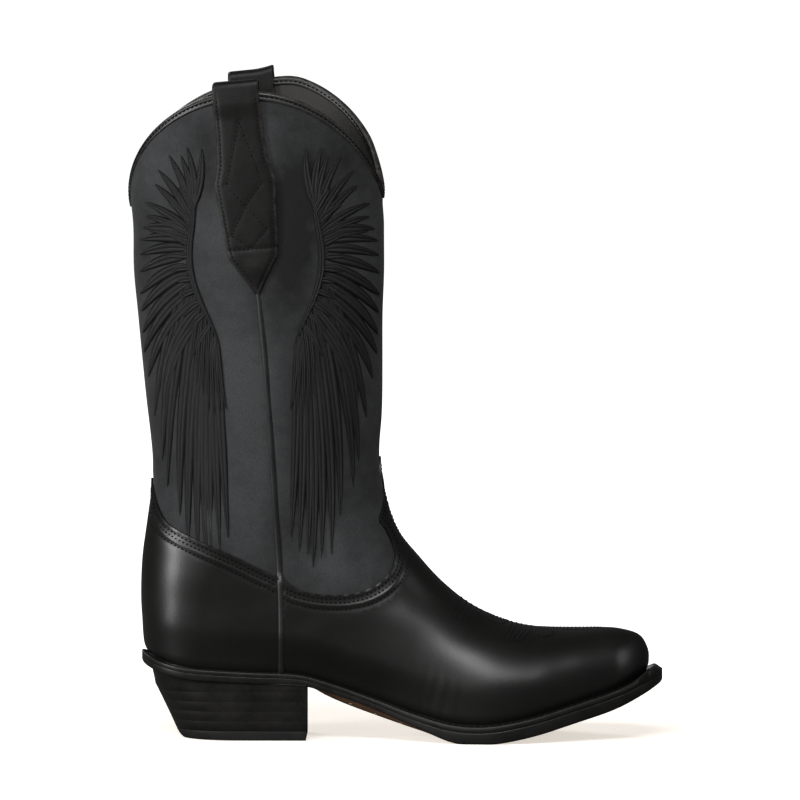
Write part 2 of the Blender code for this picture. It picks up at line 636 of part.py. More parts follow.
# ---------------------------------------------------------------- the upper
def make_foot():
    """Leather, stiffening and lining of the vamp and of the heel."""
    inner = FOOT_LEATHER + GAP
    for front, leather, board, lining, keep in (
            (True, "vamp", "toe_puff", "vamp_lining", lambda x, z: x > 0.070),
            (False, "heel_foxing", "heel_stiffener", "heel_lining", lambda x, z: (z < 0.098) & (x < -0.070))):
        panel = foot_panel(front)
        shell(leather, panel, 0, FOOT_LEATHER, "smooth_leather")
        shell(board, panel, inner, STIFFENER, "board", keep)
        shell(lining, panel, inner + STIFFENER + GAP, LINING, "lining_leather")


def make_shaft():
    for front, end in ((True, "front"), (False, "back")):
        panel = shaft_panel(front)
        shell("shaft_" + end, panel, SHAFT_STEP, SHAFT_LEATHER, "brushed_leather")
        shell("shaft_lining_" + end, panel, SHAFT_STEP + SHAFT_LEATHER + GAP, LINING, "lining_leather")


def shaft_frame(x, z, side):
    """Point on the skin, and its outward normal, for side-view points on the shaft or the foot's side."""
    step = 0.0008
    spots = [(x, z), (x + step, z), (x - step, z), (x, z + step), (x, z - step)]
    p, east, west, north, south = (
        np.stack([a, side * half_width(a, b, side), b], -1) for a, b in (map(np.asarray, s) for s in spots))
    n = np.cross(east - west, north - south)
    n *= -side / np.linalg.norm(n, axis=-1, keepdims=True)
    return p, n


def make_side_welt(side, word):
    """The narrow strip of leather that is caught in the side seam, from the welt to the pull strap."""
    z = np.linspace(0.0400, 0.2440, 34)
    x = seam_x(z)
    p, n = shaft_frame(x, z, side)
    aside = np.array([1.0, 0, 0])
    lift = 0.0012 - SHAFT_STEP * 0.5 * ease(z, 0.090, 0.094)
    half = SEAM_GAP - 0.0006
    outline = [(-half, -0.0026), (-half, 0.2), (-half * 0.4, 1.0), (half * 0.4, 1.0), (half, 0.2), (half, -0.0026)]
    rings = []
    for spread, rise in outline:
        height = lift * rise if rise >= 0 else np.full_like(lift, rise)
        rings.append(p + spread * aside + n * height[:, None])
    bm = bmesh.new()
    verts = [[bm.verts.new(q) for q in ring] for ring in rings]
    count = len(rings)
    for i in range(count):
        for k in range(len(z) - 1):
            j = (i + 1) % count
            bm.faces.new((verts[i][k], verts[j][k], verts[j][k + 1], verts[i][k + 1]))
    for k in (0, len(z) - 1):
        bm.faces.new([verts[i][k] for i in range(count)])
    add_object("side_welt_" + word, bm, "smooth_leather")


def make_binding():
    """The folded strip that wraps the top edge of the shaft leather and the lining."""
    front, back = rim_angles(True), rim_angles(False)
    loop = [(a, LATERAL) for a in front] + [(a, MEDIAL) for a in front[-2::-1]]
    loop += [(a, MEDIAL) for a in back[1:]] + [(a, LATERAL) for a in back[-2:0:-1]]
    inside = SHAFT_STEP + SHAFT_LEATHER + GAP + LINING + 3 * GAP
    outside = SHAFT_STEP - 3 * GAP
    legs = [
        (-outside + BINDING_THICK, BINDING_HEIGHT), (-outside + BINDING_THICK, 0.0008), (-outside, 0.0),
        (-inside, 0.0), (-inside - BINDING_THICK, 0.0008), (-inside - BINDING_THICK, BINDING_HEIGHT),
        (-inside, BINDING_HEIGHT), (-inside, BINDING_THICK), (-outside, BINDING_THICK), (-outside, BINDING_HEIGHT),
    ]
    angle = np.array([a for a, _ in loop])
    side = np.array([s for _, s in loop])
    tip = np.isclose(np.sin(angle), 0)
    rows = []
    for spread, lower in legs:
        x, z = rim_point(angle, lower)
        y, flat = np.zeros_like(x), np.zeros((len(x), 3))
        for s in (LATERAL, MEDIAL):
            mine = (side == s) & ~tip
            p, n = shaft_frame(x[mine], z[mine], s)
            y[mine] = p[:, 1]
            flat[mine] = n * [1, 1, 0]
        flat[tip, 0] = np.cos(angle[tip])
        flat /= np.linalg.norm(flat, axis=1, keepdims=True)
        rows.append(np.stack([x, y, z], 1) + flat * spread)
    bm = bmesh.new()
    verts = [[bm.verts.new(p) for p in row] for row in rows]
    count, length = len(rows), len(loop)
    for i in range(count):
        for k in range(length):
            j, m = (i + 1) % count, (k + 1) % length
            bm.faces.new((verts[i][k], verts[j][k], verts[j][m], verts[i][m]))
    add_object("top_binding", bm, "smooth_leather")


def strap_station(down, share):
    """Side-view point on the strap: a distance down it, and -1 to 1 across it."""
    top, tip = np.array(STRAP_TOP), np.array(STRAP_TIP)
    along = (tip - top) / np.linalg.norm(tip - top)
    aside = np.array([-along[1], along[0]])
    half = np.interp(down, *np.array(STRAP_OUTLINE).T)
    return top + along * down + aside * half * share


def make_strap(side, word):
    """A pull strap: sewn down outside, looped over the top line, sewn down inside."""
    outside = [0.1185, 0.1090, 0.0985, 0.0935, 0.080, 0.070, 0.0565, 0.046, 0.030, 0.018, 0.010]
    inside = [0.010, 0.018, 0.030, 0.045, 0.060, STRAP_INSIDE_LENGTH]
    shares = np.linspace(-1, 1, 5)
    wall = SHAFT_STEP + SHAFT_LEATHER + GAP + LINING
    over, under = BINDING_THICK + 4 * GAP - SHAFT_STEP + 0.0004, -(wall + BINDING_THICK + 4 * GAP + 0.0008)
    rows = []
    for down in outside:
        spots = np.array([strap_station(down, s) for s in shares])
        p, n = shaft_frame(spots[:, 0], spots[:, 1], side)
        lift = over + 0.0010 * ease(down, 0.110, 0.090)
        rows.append((p + n * lift, n))
    spots = np.array([strap_station(STRAP_LOOP_DOWN, s) for s in shares])
    p, n = shaft_frame(spots[:, 0], spots[:, 1], side)
    middle = (over + under + 0.0010 - STRAP_THICK) / 2
    reach = (over + 0.0010 + STRAP_THICK - middle) - STRAP_THICK
    for turn in np.linspace(0, math.pi, 7):
        up = np.array([0, 0, 1.0])
        direction = n * math.cos(turn) + up * math.sin(turn)
        rows.append((p + n * middle + direction * reach, direction))
    for down in inside:
        spots = np.array([strap_station(down, s) for s in shares])
        p, n = shaft_frame(spots[:, 0], spots[:, 1], side)
        rows.append((p + n * (middle - reach), -n))
    lower = np.stack([r[0] for r in rows])
    upper = np.stack([r[0] + r[1] * STRAP_THICK for r in rows])
    bm = bmesh.new()
    add_layers(bm, upper, lower)
    add_object("pull_strap_" + word, bm, "smooth_leather")


# ---------------------------------------------------------------- the bottom
def sole_half(x, side):
    """Half width of the welt and the outsole."""
    feather = feather_lateral(x) if side == LATERAL else feather_medial(x)
    rounds = arch((SOLE_TIP - x) / SOLE_TOE_ROUND, 2.0) * arch((x - SOLE_BACK) / SOLE_HEEL_ROUND, 2.1)
    return (feather + sole_margin(x)) * rounds


def inner_half(inset):
    """Half width of a plate that lies `inset` inside the feather line."""
    def half(x, side):
        feather = (feather_lateral(x) if side == LATERAL else feather_medial(x)) - inset
        return feather * arch((TOE_TIP - inset - x) / 0.017) * arch((x - HEEL_TIP - inset) / 0.027, 2.1)
    return half


def outsole_bottom(x, share):
    """The outsole's lower face, kept on the ground under the ball."""
    return np.maximum(feather_z(x) - sole_thick(x) - np.maximum(sole_dome(x), 0) * (1 - share**2), 0)


def make_ring(name, start, finish, count, forward):
    """The strip that follows the sole's edge round the toe or the heel."""
    ends = (SOLE_TIP, TOE_TIP - WELT_INSIDE) if forward else (SOLE_BACK, HEEL_TIP + WELT_INSIDE)
    t = np.sin(np.linspace(0, 1, count) * math.pi / 2)
    rows = []
    for end, half in zip(ends, (sole_half, inner_half(WELT_INSIDE))):
        x = start + (end - start) * t
        near, far = np.stack([x, -half(x, LATERAL)], 1), np.stack([x, half(x, MEDIAL)], 1)
        near[-1, 1] = 0
        rows.append(np.concatenate([near, far[-2::-1]]))
    flat = np.stack(rows)
    top = feather_z(flat[..., 0])
    bm = bmesh.new()
    add_layers(bm, np.dstack([flat, top]), np.dstack([flat, top - welt_thick(flat[..., 0])]))
    add_object(name, bm, finish)


def peg_places():
    """Two staggered rows of wooden pegs down each side of the waist: x, y."""
    places = []
    for side, half in ((LATERAL, feather_lateral), (MEDIAL, feather_medial)):
        for k, x in enumerate(np.linspace(-0.038, 0.004, 4)):
            inset = 0.0065 if k % 2 else 0.0095
            places.append((x, side * (float(half(x)) - inset)))
    return places


def make_bottom():
    make_ring("welt", BREAST_X, "sole_edge", 18, forward=True)
    make_ring("heel_rand", BREAST_X - GAP, "sole_edge", 14, forward=False)
    pegs = []
    for x, y in peg_places():
        share = y / float(sole_half(x, math.copysign(1, y)))
        low = float(outsole_bottom(np.array(x), share)) - 0.0001
        pegs.append(((x, y, low), (x, y, float(feather_z(x)) - float(welt_thick(x)) - GAP - 0.0001)))
    sole = plate("outsole", "sole_edge", sole_half, stations(SOLE_BACK, SOLE_TIP, SOLE_HEEL_ROUND, SOLE_TOE_ROUND),
                 lambda x, s: feather_z(x) - welt_thick(x) - GAP, outsole_bottom, across=7)
    drill(sole, [((x, y, low - 0.004), (x, y, high + 0.004)) for (x, y, low), (_, _, high) in pegs], 0.0009)
    pins("waist_peg", pegs, 0.0009, "wood")
    for name, finish, inset, low, high in (("insole", "board", 0.0066, 0.0003, 0.0030),
                                           ("sock_liner", "lining_leather", 0.0074, 0.0033, 0.0045)):
        x = stations(HEEL_TIP + inset, TOE_TIP - inset, 0.027, 0.017)
        plate(name, finish, inner_half(inset), x,
              lambda x, s: feather_z(x) + high, lambda x, s: feather_z(x) + low, across=3)
    inset = WELT_INSIDE + 0.0008
    plate("forepart_filler", "cork", inner_half(inset), stations(0.020, TOE_TIP - inset, 0, 0.017),
          lambda x, s: feather_z(x) - 0.0002, lambda x, s: feather_z(x) - welt_thick(x), across=3)
    plate("shank", "steel", lambda x, side: 0.0070 * arch((x + 0.112) / 0.007) * arch((0.0165 - x) / 0.007),
          stations(-0.112, 0.0165, 0.007, 0.007),
          lambda x, s: feather_z(x) - 0.0004, lambda x, s: feather_z(x) - 0.0018, across=3)


def make_welt_thread():
    """The outseam's thread on the welt: one cord that swells in each stitch and sinks at each hole."""
    x = 0.004 + (SOLE_TIP - 0.0022 - 0.004) * np.sin(np.linspace(0, 1, 200) * math.pi / 2)
    path = []
    for side, half in ((LATERAL, feather_lateral), (MEDIAL, feather_medial)):
        rounds = arch((SOLE_TIP - 0.0022 - x) / SOLE_TOE_ROUND)
        line = np.stack([x, side * (half(x) + sole_margin(x) - 0.0022) * rounds], 1)
        path.append(line if side == LATERAL else line[-2::-1])
    path = np.concatenate(path)
    run = np.concatenate([[0], np.cumsum(np.linalg.norm(np.diff(path, axis=0), axis=1))])
    steps = int(run[-1] / STITCH_PITCH) * 3
    at = np.linspace(0, run[-1], steps + 1)
    line = np.stack([np.interp(at, run, path[:, i]) for i in (0, 1)], 1)
    aside = np.gradient(line, axis=0)[:, ::-1] * [-1, 1]
    aside /= np.linalg.norm(aside, axis=1, keepdims=True)
    swell = np.where(np.arange(steps + 1) % 3 == 0, 0.35, 1.0)[:, None]
    base = feather_z(line[:, 0])[:, None] + 2 * GAP
    edges = [(-0.0004, 0.0), (0.0004, 0.0), (0.0003, 0.0005), (-0.0003, 0.0005)]
    rings = [np.hstack([line + aside * wide * swell, base + high * swell]) for wide, high in edges]
    bm = bmesh.new()
    verts = [[bm.verts.new(p) for p in ring] for ring in rings]
    for i in range(4):
        for k in range(steps):
            j = (i + 1) % 4
            bm.faces.new((verts[i][k], verts[j][k], verts[j][k + 1], verts[i][k + 1]))
    for k in (0, steps):
        bm.faces.new([verts[i][k] for i in range(4)])
    add_object("welt_thread", bm, "thread", smooth=False)


def heel_back(z):
    return HEEL_BACK_FOOT + (HEEL_BACK_TOP - HEEL_BACK_FOOT) * (z / HEEL_SEAT_Z) ** 1.1


def heel_ring(z, inset=0.0):
    """Outline of the heel at a height, from the breast round the back, as x, y."""
    back = heel_back(z) + inset
    half = HEEL_HALF_FOOT + (HEEL_HALF_TOP - HEEL_HALF_FOOT) * z / HEEL_SEAT_Z
    x = BREAST_X + (back - BREAST_X) * np.sin(np.linspace(0, 1, 11) * math.pi / 2)
    y = (half - inset * 0.3) * arch((x - back) / HEEL_ROUND, 2.1)
    y[-1] = 0
    near = np.stack([x, -y], 1)
    return np.concatenate([near, np.stack([x, y], 1)[-2::-1]])


def make_lift(name, low, high, finish, inset=0.0, seat=False):
    """One layer of the heel. The uppermost one is a wedge that follows the curved seat."""
    foot, head = heel_ring(low, inset), heel_ring(HEEL_SEAT_Z if seat else high)
    bottom = np.dstack([foot[None], np.full((1, len(foot)), low)])[0]
    share = np.zeros(len(head))
    z = outsole_bottom(head[:, 0], share) - GAP if seat else np.full(len(head), high)
    top = np.column_stack([head, z])
    bm = bmesh.new()
    half = len(foot) // 2
    rings = [[bm.verts.new(p) for p in ring] for ring in (bottom, top)]
    count = len(foot)
    for k in range(count - 1):
        bm.faces.new((rings[0][k], rings[0][k + 1], rings[1][k + 1], rings[1][k]))
    bm.faces.new((rings[0][-1], rings[0][0], rings[1][0], rings[1][-1]))
    for ring in rings:
        for k in range(half):
            corners = [ring[k], ring[k + 1], ring[count - 2 - k], ring[count - 1 - k]]
            bm.faces.new(corners if k < half - 1 else corners[:1] + corners[1:2] + corners[3:])
    return add_object(name, bm, finish)


def make_heel():
    nails = [(-0.062, -0.016), (-0.062, 0.016), (-0.095, -0.015), (-0.095, 0.015), (-0.108, 0.0)]
    floor = HEEL_CAP_THICK + GAP
    nail_top = floor + LIFT_COUNT * (LIFT_THICK + GAP) + 0.0030
    through = [((x, y, -0.01), (x, y, nail_top + 0.0004)) for x, y in nails]
    cap = make_lift("heel_cap", 0.0, HEEL_CAP_THICK, "rubber", inset=CAP_EDGE_INSET)
    brads = [(-0.058, -0.012), (-0.058, 0.012), (-0.101, 0.0)]
    drill(cap, [((x, y, -0.005), (x, y, 0.0040)) for x, y in brads], 0.0011)
    pins("heel_cap_brad", [((x, y, 0.0003), (x, y, 0.0037)) for x, y in brads], 0.0011, "steel")
    for k in range(LIFT_COUNT):
        low = floor + k * (LIFT_THICK + GAP)
        lift = make_lift(f"heel_lift_{k + 1}", low, low + LIFT_THICK, "stacked_heel")
        drill(lift, through, 0.0013)
    low = floor + LIFT_COUNT * (LIFT_THICK + GAP)
    wedge = make_lift("heel_seat_wedge", low, HEEL_SEAT_Z, "stacked_heel", seat=True)
    drill(wedge, [((x, y, low - 0.004), (x, y, nail_top + 0.0004)) for x, y in nails], 0.0013)
    pins("heel_nail", [((x, y, floor + 0.0003), (x, y, nail_top)) for x, y in nails], 0.0013, "steel")


def main():
    for obj in list(bpy.data.objects):
        bpy.data.objects.remove(obj)
    make_foot()
    make_shaft()
    make_binding()
    for side, word in ((LATERAL, "outer"), (MEDIAL, "inner")):
        make_side_welt(side, word)
        make_strap(side, word)
    make_bottom()
    make_welt_thread()
    make_heel()


main()
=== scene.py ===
import itertools
import math

import bmesh
import bpy
import numpy as np
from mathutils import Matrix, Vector
from mathutils.geometry import delaunay_2d_cdt


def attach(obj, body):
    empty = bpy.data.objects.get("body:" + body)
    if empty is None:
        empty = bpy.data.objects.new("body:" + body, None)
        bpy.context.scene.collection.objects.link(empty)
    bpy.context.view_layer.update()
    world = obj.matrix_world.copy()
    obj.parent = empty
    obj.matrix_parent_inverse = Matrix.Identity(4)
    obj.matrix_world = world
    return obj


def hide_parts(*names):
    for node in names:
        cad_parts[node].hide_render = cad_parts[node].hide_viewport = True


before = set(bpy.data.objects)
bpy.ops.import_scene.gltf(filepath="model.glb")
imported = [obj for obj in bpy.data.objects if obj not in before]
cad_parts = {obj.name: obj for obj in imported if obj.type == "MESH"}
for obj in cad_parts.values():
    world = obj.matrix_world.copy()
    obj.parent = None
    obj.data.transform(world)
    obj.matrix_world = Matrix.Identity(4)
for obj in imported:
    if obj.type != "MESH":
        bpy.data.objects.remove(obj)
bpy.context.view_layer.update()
for thing in bpy.context.selected_objects:
    thing.select_set(False)
print("frame loaded,", len(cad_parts), "nodes")

# metres everywhere; x to the toe, z up, the outer side of the foot is at negative y
outerSide, innerSide = -1.0, 1.0
scratch = np.random.default_rng(11)

# the boot's skin in side view; each layer of the upper lies a little way inside it
skin = {
    "front": [  # x, z, depth over which the ridge rounds off
        (0.1412, 0.0395, 0.016), (0.1410, 0.0490, 0.018), (0.1368, 0.0567, 0.022),
        (0.1250, 0.0606, 0.026), (0.1056, 0.0614, 0.032), (0.0878, 0.0613, 0.038),
        (0.0732, 0.0624, 0.043), (0.0570, 0.0670, 0.048), (0.0430, 0.0738, 0.052),
        (0.0257, 0.0872, 0.056), (0.0134, 0.1007, 0.058), (0.0028, 0.1142, 0.060),
        (-0.0028, 0.1276, 0.061), (-0.0061, 0.1411, 0.063), (-0.0076, 0.1560, 0.065),
        (-0.0068, 0.1800, 0.067), (-0.0060, 0.2150, 0.069), (-0.0055, 0.2600, 0.070),
        (-0.0050, 0.3000, 0.0715), (-0.0043, 0.3700, 0.0723)],
    "back": [
        (-0.1385, 0.0440, 0.030), (-0.1402, 0.0580, 0.033), (-0.1413, 0.0780, 0.036),
        (-0.1410, 0.0940, 0.040), (-0.1388, 0.1142, 0.048), (-0.1360, 0.1344, 0.056),
        (-0.1362, 0.1512, 0.061), (-0.1378, 0.1680, 0.065), (-0.1408, 0.2000, 0.067),
        (-0.1440, 0.2300, 0.0685), (-0.1464, 0.2620, 0.070), (-0.1472, 0.2850, 0.071),
        (-0.1490, 0.3060, 0.0723), (-0.1490, 0.3700, 0.0723)],
    "feather": [  # x, z of the line where the upper stands on the welt
        (-0.1410, 0.0490), (-0.1370, 0.0467), (-0.1299, 0.0440), (-0.1144, 0.0407),
        (-0.0820, 0.0384), (-0.0524, 0.0368), (-0.0345, 0.0319), (-0.0106, 0.0236),
        (0.0132, 0.0155), (0.0341, 0.0105), (0.0520, 0.0100), (0.0759, 0.0140),
        (0.0997, 0.0209), (0.1235, 0.0285), (0.1400, 0.0360), (0.1500, 0.0415)],
    "footWidths": [  # x, half width on the outer side, on the inner side, of the body
        (-0.145, 0.0300, 0.0300, 0.0325), (-0.105, 0.0300, 0.0300, 0.0330),
        (-0.075, 0.0292, 0.0290, 0.0332), (-0.045, 0.0275, 0.0262, 0.0335),
        (-0.015, 0.0282, 0.0248, 0.0345), (0.010, 0.0335, 0.0285, 0.0370),
        (0.035, 0.0395, 0.0365, 0.0405), (0.058, 0.0412, 0.0420, 0.0422),
        (0.080, 0.0375, 0.0395, 0.0390), (0.100, 0.0312, 0.0325, 0.0325),
        (0.120, 0.0240, 0.0245, 0.0250), (0.136, 0.0190, 0.0190, 0.0195),
        (0.150, 0.0170, 0.0170, 0.0170)],
    "shaftWidths": [(0.09, 0.0345), (0.12, 0.0362), (0.15, 0.0385), (0.19, 0.0425), (0.24, 0.0452),
                    (0.29, 0.0465), (0.38, 0.0472)],
    "bodyLift": 0.024, "shaftFrom": 0.082, "shaftFull": 0.150,
    "toeTip": 0.1412, "toeRound": 0.020, "heelTip": -0.1389,
    # the leg turns inwards on its way up
    "twist": 4.0, "twistAxis": -0.077, "twistFrom": 0.130, "twistFull": 0.345,
    # how much taller the leg's inner side stands before its front, and where that comes and goes
    "innerRise": 0.0046, "riseBehind": (-0.0840, -0.0540), "riseBefore": (-0.0160, -0.0060),
    "riseAcross": (0.002, 0.016), "riseUp": (0.250, 0.345),
    "rimFront": 0.3060, "rimBack": 0.3005, "rimPeak": 0.3635,
    "sideSeam": [(-0.0626, 0.0360), (-0.0627, 0.0790), (-0.0660, 0.1355), (-0.0688, 0.1920),
                 (-0.0732, 0.2517), (-0.0850, 0.3700)],
    "vampLine": [(-0.0628, 0.0907), (-0.0565, 0.0864), (-0.0475, 0.0836), (-0.0363, 0.0823),
                 (-0.0252, 0.0826), (-0.0162, 0.0845), (-0.0084, 0.0883), (-0.0028, 0.0936),
                 (0.0003, 0.1005), (0.0006, 0.1057), (-0.0017, 0.1121), (-0.0050, 0.1182),
                 (-0.0082, 0.1226)],
    "tongue": [(0.0105, 0.1310), (0.0072, 0.1400), (0.0048, 0.1490), (0.0, 0.1568)],  # half width, z
    "foxingLine": [(-0.0628, 0.0912), (-0.0755, 0.0970), (-0.0866, 0.1025), (-0.0978, 0.1074),
                   (-0.1090, 0.1122), (-0.1202, 0.1173), (-0.1269, 0.1217), (-0.1314, 0.1285),
                   (-0.1342, 0.1370), (-0.1361, 0.1444)],
}


def smoothCurve(points, perSpan=12):
    # a curve through the points that doesn't overshoot, as a dense row
    p = np.array(points, float)
    p = np.vstack([2 * p[0] - p[1], p, 2 * p[-1] - p[-2]])
    t = np.linspace(0, 1, perSpan, endpoint=False)[:, None]
    spans = []
    for a, b, c, d in zip(p[:-3], p[1:-2], p[2:-1], p[3:]):
        knots = [np.linalg.norm(q[:2] - r[:2]) ** 0.5 for q, r in ((b, a), (c, b), (d, c))]
        out = (c - b) - knots[1] * ((c - a) / (knots[0] + knots[1]) - (b - a) / knots[0])
        back = (c - b) - knots[1] * ((d - b) / (knots[1] + knots[2]) - (d - c) / knots[2])
        spans.append(b + t * out + t**2 * (3 * (c - b) - 2 * out - back) + t**3 * (2 * (b - c) + out + back))
    return np.vstack([*spans, p[-2:-1]])


def column(table, index):
    dense = smoothCurve([(row[0], row[index]) for row in table])
    return lambda x: np.interp(x, dense[:, 0], dense[:, 1])


def ease(x, low, high):
    t = np.clip((np.asarray(x, float) - low) / (high - low), 0, 1)
    return t * t * (3 - 2 * t)


def arch(t, power=2.0):
    # a quarter of a superellipse, 0 at the edge and 1 from t = 1 on
    t = np.clip(t, 0, 1)
    return (1 - (1 - t) ** power) ** (1 / power)


frontLine, backLine, seamLine = (smoothCurve(skin[key]) for key in ("front", "back", "sideSeam"))
featherZ = column(skin["feather"], 1)
featherOuter, featherInner, bodyHalf = (column(skin["footWidths"], i) for i in (1, 2, 3))
shaftHalf = column(skin["shaftWidths"], 1)


def seamX(z):
    return np.interp(z, seamLine[:, 1], seamLine[:, 0])


def frontX(z):
    return np.interp(z, frontLine[:, 1], frontLine[:, 0])


def backX(z):
    return np.interp(z, backLine[:, 1], backLine[:, 0])


footFront = frontLine[frontLine[:, 1] < 0.150]


def ridgeZ(x):
    return np.interp(-np.asarray(x, float), -footFront[:, 0], footFront[:, 1])


def nearest(profile, x, z):
    # distance to a profile in side view, and the rounding depth there
    q = np.stack([np.ravel(x), np.ravel(z)], 1)
    coarse = np.arange(0, len(profile), 4)
    k = coarse[((q[:, None] - profile[coarse, :2]) ** 2).sum(2).argmin(1)]
    index = np.clip(k[:, None] + np.arange(-6, 6), 0, len(profile) - 2)
    a, b = profile[index, :2], profile[index + 1, :2]
    along = np.clip(((q[:, None] - a) * (b - a)).sum(2) / np.maximum(((b - a) ** 2).sum(2), 1e-18), 0, 1)
    away = np.linalg.norm(q[:, None] - a - along[..., None] * (b - a), axis=2)
    best = away.argmin(1)
    rows = np.arange(len(q))
    t, k = along[rows, best], index[rows, best]
    depth = profile[k, -1] * (1 - t) + profile[k + 1, -1] * t
    return away[rows, best].reshape(np.shape(x)), depth.reshape(np.shape(x))


def halfWidth(x, z, side):
    x, z = np.asarray(x, float), np.asarray(z, float)
    feather = featherOuter(x) if side < 0 else featherInner(x)
    body = feather + (bodyHalf(x) - feather) * ease(z - featherZ(x), 0, skin["bodyLift"])
    full = body + (shaftHalf(z) - body) * ease(z, skin["shaftFrom"], skin["shaftFull"])
    away, depth = nearest(frontLine, x, z)
    toe = ease(x, 0.040, 0.085)
    down = np.interp(-x, -frontLine[:, 0], frontLine[:, 2])
    away = away + toe * ((ridgeZ(x) - z) - away)
    depth = depth + toe * (down - depth)
    backAway, backDepth = nearest(backLine, x, z)
    tip = arch((skin["toeTip"] - x) / skin["toeRound"])
    return full * arch(away / depth, 2.15) * arch(backAway / backDepth, 2.1) * tip


def skinNormals(x, z, side):
    # outward normals; within a hair of a profile they lie in the boot's middle plane
    x, z = np.asarray(x, float), np.asarray(z, float)
    frontAway, backAway = nearest(frontLine, x, z)[0], nearest(backLine, x, z)[0]
    step = np.clip(np.minimum(frontAway, backAway) / 4, 1e-7, 5e-4)
    dx = (halfWidth(x + step, z, side) - halfWidth(x - step, z, side)) / (2 * step)
    dz = (halfWidth(x, z + step, side) - halfWidth(x, z - step, side)) / (2 * step)
    n = np.stack([-dx, np.full_like(dx, side), -dz], -1)
    for profile, distance, turn in ((frontLine, frontAway, 1), (backLine, backAway, -1)):
        for k in np.argwhere(distance < 3e-5).ravel():
            i = int(np.hypot(profile[1:-1, 0] - x[k], profile[1:-1, 1] - z[k]).argmin()) + 1
            along = profile[i + 1, :2] - profile[i - 1, :2]
            n[k] = turn * along[1], 0, -turn * along[0]
    return n / np.maximum(np.linalg.norm(n, axis=-1, keepdims=True), 1e-12)


def onSkin(x, z, side, height=0.0):
    # points on the skin over side-view points, raised along the normal, and the normals
    x, z = np.asarray(x, float), np.asarray(z, float)
    n = skinNormals(x, z, side)
    p = np.stack([x, side * halfWidth(x, z, side), z], -1)
    return p + n * np.reshape(np.broadcast_to(height, x.shape), (*x.shape, 1)), n


def topLine(angle):
    forward = (1 + np.cos(angle)) / 2
    dip = skin["rimBack"] + (skin["rimFront"] - skin["rimBack"]) * forward
    return dip + (skin["rimPeak"] - dip) * np.abs(np.sin(angle)) ** (1.0 + 0.3 * forward)


def rimPoint(angle, lower=0.0):
    z = topLine(angle) - lower
    front, back = frontX(z), backX(z)
    return (front + back) / 2 + (front - back) / 2 * np.cos(angle), z


def seamAngle():
    angles = np.linspace(0.4 * math.pi, 0.7 * math.pi, 400)
    x, z = rimPoint(angles)
    return float(angles[np.abs(x - seamX(z)).argmin()])


def resample(curve, pitch=None, count=None):
    # the curve with points an even distance apart
    curve = np.array(curve, float)
    run = np.concatenate([[0], np.cumsum(np.linalg.norm(np.diff(curve, axis=0), axis=1))])
    if count is None:
        count = max(int(round(run[-1] / pitch)), 1) + 1
    at = np.linspace(0, run[-1], count)
    return np.stack([np.interp(at, run, curve[:, i]) for i in range(curve.shape[1])], 1)


def inside(outline, points):
    a, b = outline, np.roll(outline, -1, axis=0)
    x, z = points[:, 0, None], points[:, 1, None]
    crosses = (a[:, 1] > z) != (b[:, 1] > z)
    rise = np.where(b[:, 1] == a[:, 1], 1, b[:, 1] - a[:, 1])
    return (crosses & (x < a[:, 0] + (z - a[:, 1]) * (b[:, 0] - a[:, 0]) / rise)).sum(1) % 2 == 1


def moved(curve, distance):
    # the curve shifted to its left
    along = np.gradient(curve[:, :2], axis=0)
    along /= np.maximum(np.linalg.norm(along, axis=1, keepdims=True), 1e-12)
    return curve[:, :2] + distance * along[:, ::-1] * [-1, 1]


def tongueCurve(wider):
    # the tongue's edge, made wider by a distance over the skin
    found = []
    for half, z in skin["tongue"][:-1]:
        inward = np.linspace(0, 0.03, 300)
        x = frontX(z) - inward
        width = max(half + wider, 0.0006)
        found.append((float(np.interp(width, halfWidth(x, np.full_like(x, z), outerSide), x)), z))
    z = skin["tongue"][-1][1] + 2 * wider
    return [*[p for p in found if p[1] < z - 0.002], (float(frontX(z)), z)]


def footTop(front, raised):
    # the line between foot and shaft, from the side seam to the profile
    if front:
        line = smoothCurve([*skin["vampLine"], *tongueCurve(raised)])
        shift = moved(line, raised) - line
        line += shift * (1 - ease(line[:, 1], skin["vampLine"][-1][1] - 0.002, skin["tongue"][0][1]))[:, None]
        line[:, 0] = np.minimum(line[:, 0], frontX(line[:, 1]))
    else:
        line = smoothCurve(skin["foxingLine"])
        flat = ease(line[:, 1], 0.126, 0.136)[:, None]
        line += (moved(line, -raised) - line) * (1 - flat) + flat * [0, raised]
        line[:, 0] = np.maximum(line[:, 0], backX(line[:, 1]))
        line[-1, 0] = backX(line[-1, 1])
    return line


def between(low, high, sign, gap):
    z = np.linspace(low, high, max(int((high - low) / 0.002), 2))
    return np.stack([seamX(z) + sign * gap, z], 1)


def profileBetween(profile, low, high, pitch):
    part = profile[(profile[:, 1] > low) & (profile[:, 1] < high)]
    return resample(part, pitch)[1:-1]


def distanceTo(curve, points):
    # distance from points to a dense row of points, in space
    found = np.empty(len(points))
    for k in range(0, len(points), 2000):
        found[k:k + 2000] = np.linalg.norm(points[k:k + 2000, None] - curve[None], axis=2).min(1)
    return found


rowShares = (0.0012, 0.005, 0.013, 0.027, 0.047, 0.075, 0.11, 0.15, 0.20)  # of the rounding depth
neighbours = list(itertools.product((-1, 0, 1), repeat=3))


def outerPlace(flat):
    # side-view points as they lie on the skin's outer side
    return np.column_stack([flat[:, 0], halfWidth(flat[:, 0], flat[:, 1], outerSide), flat[:, 1]])


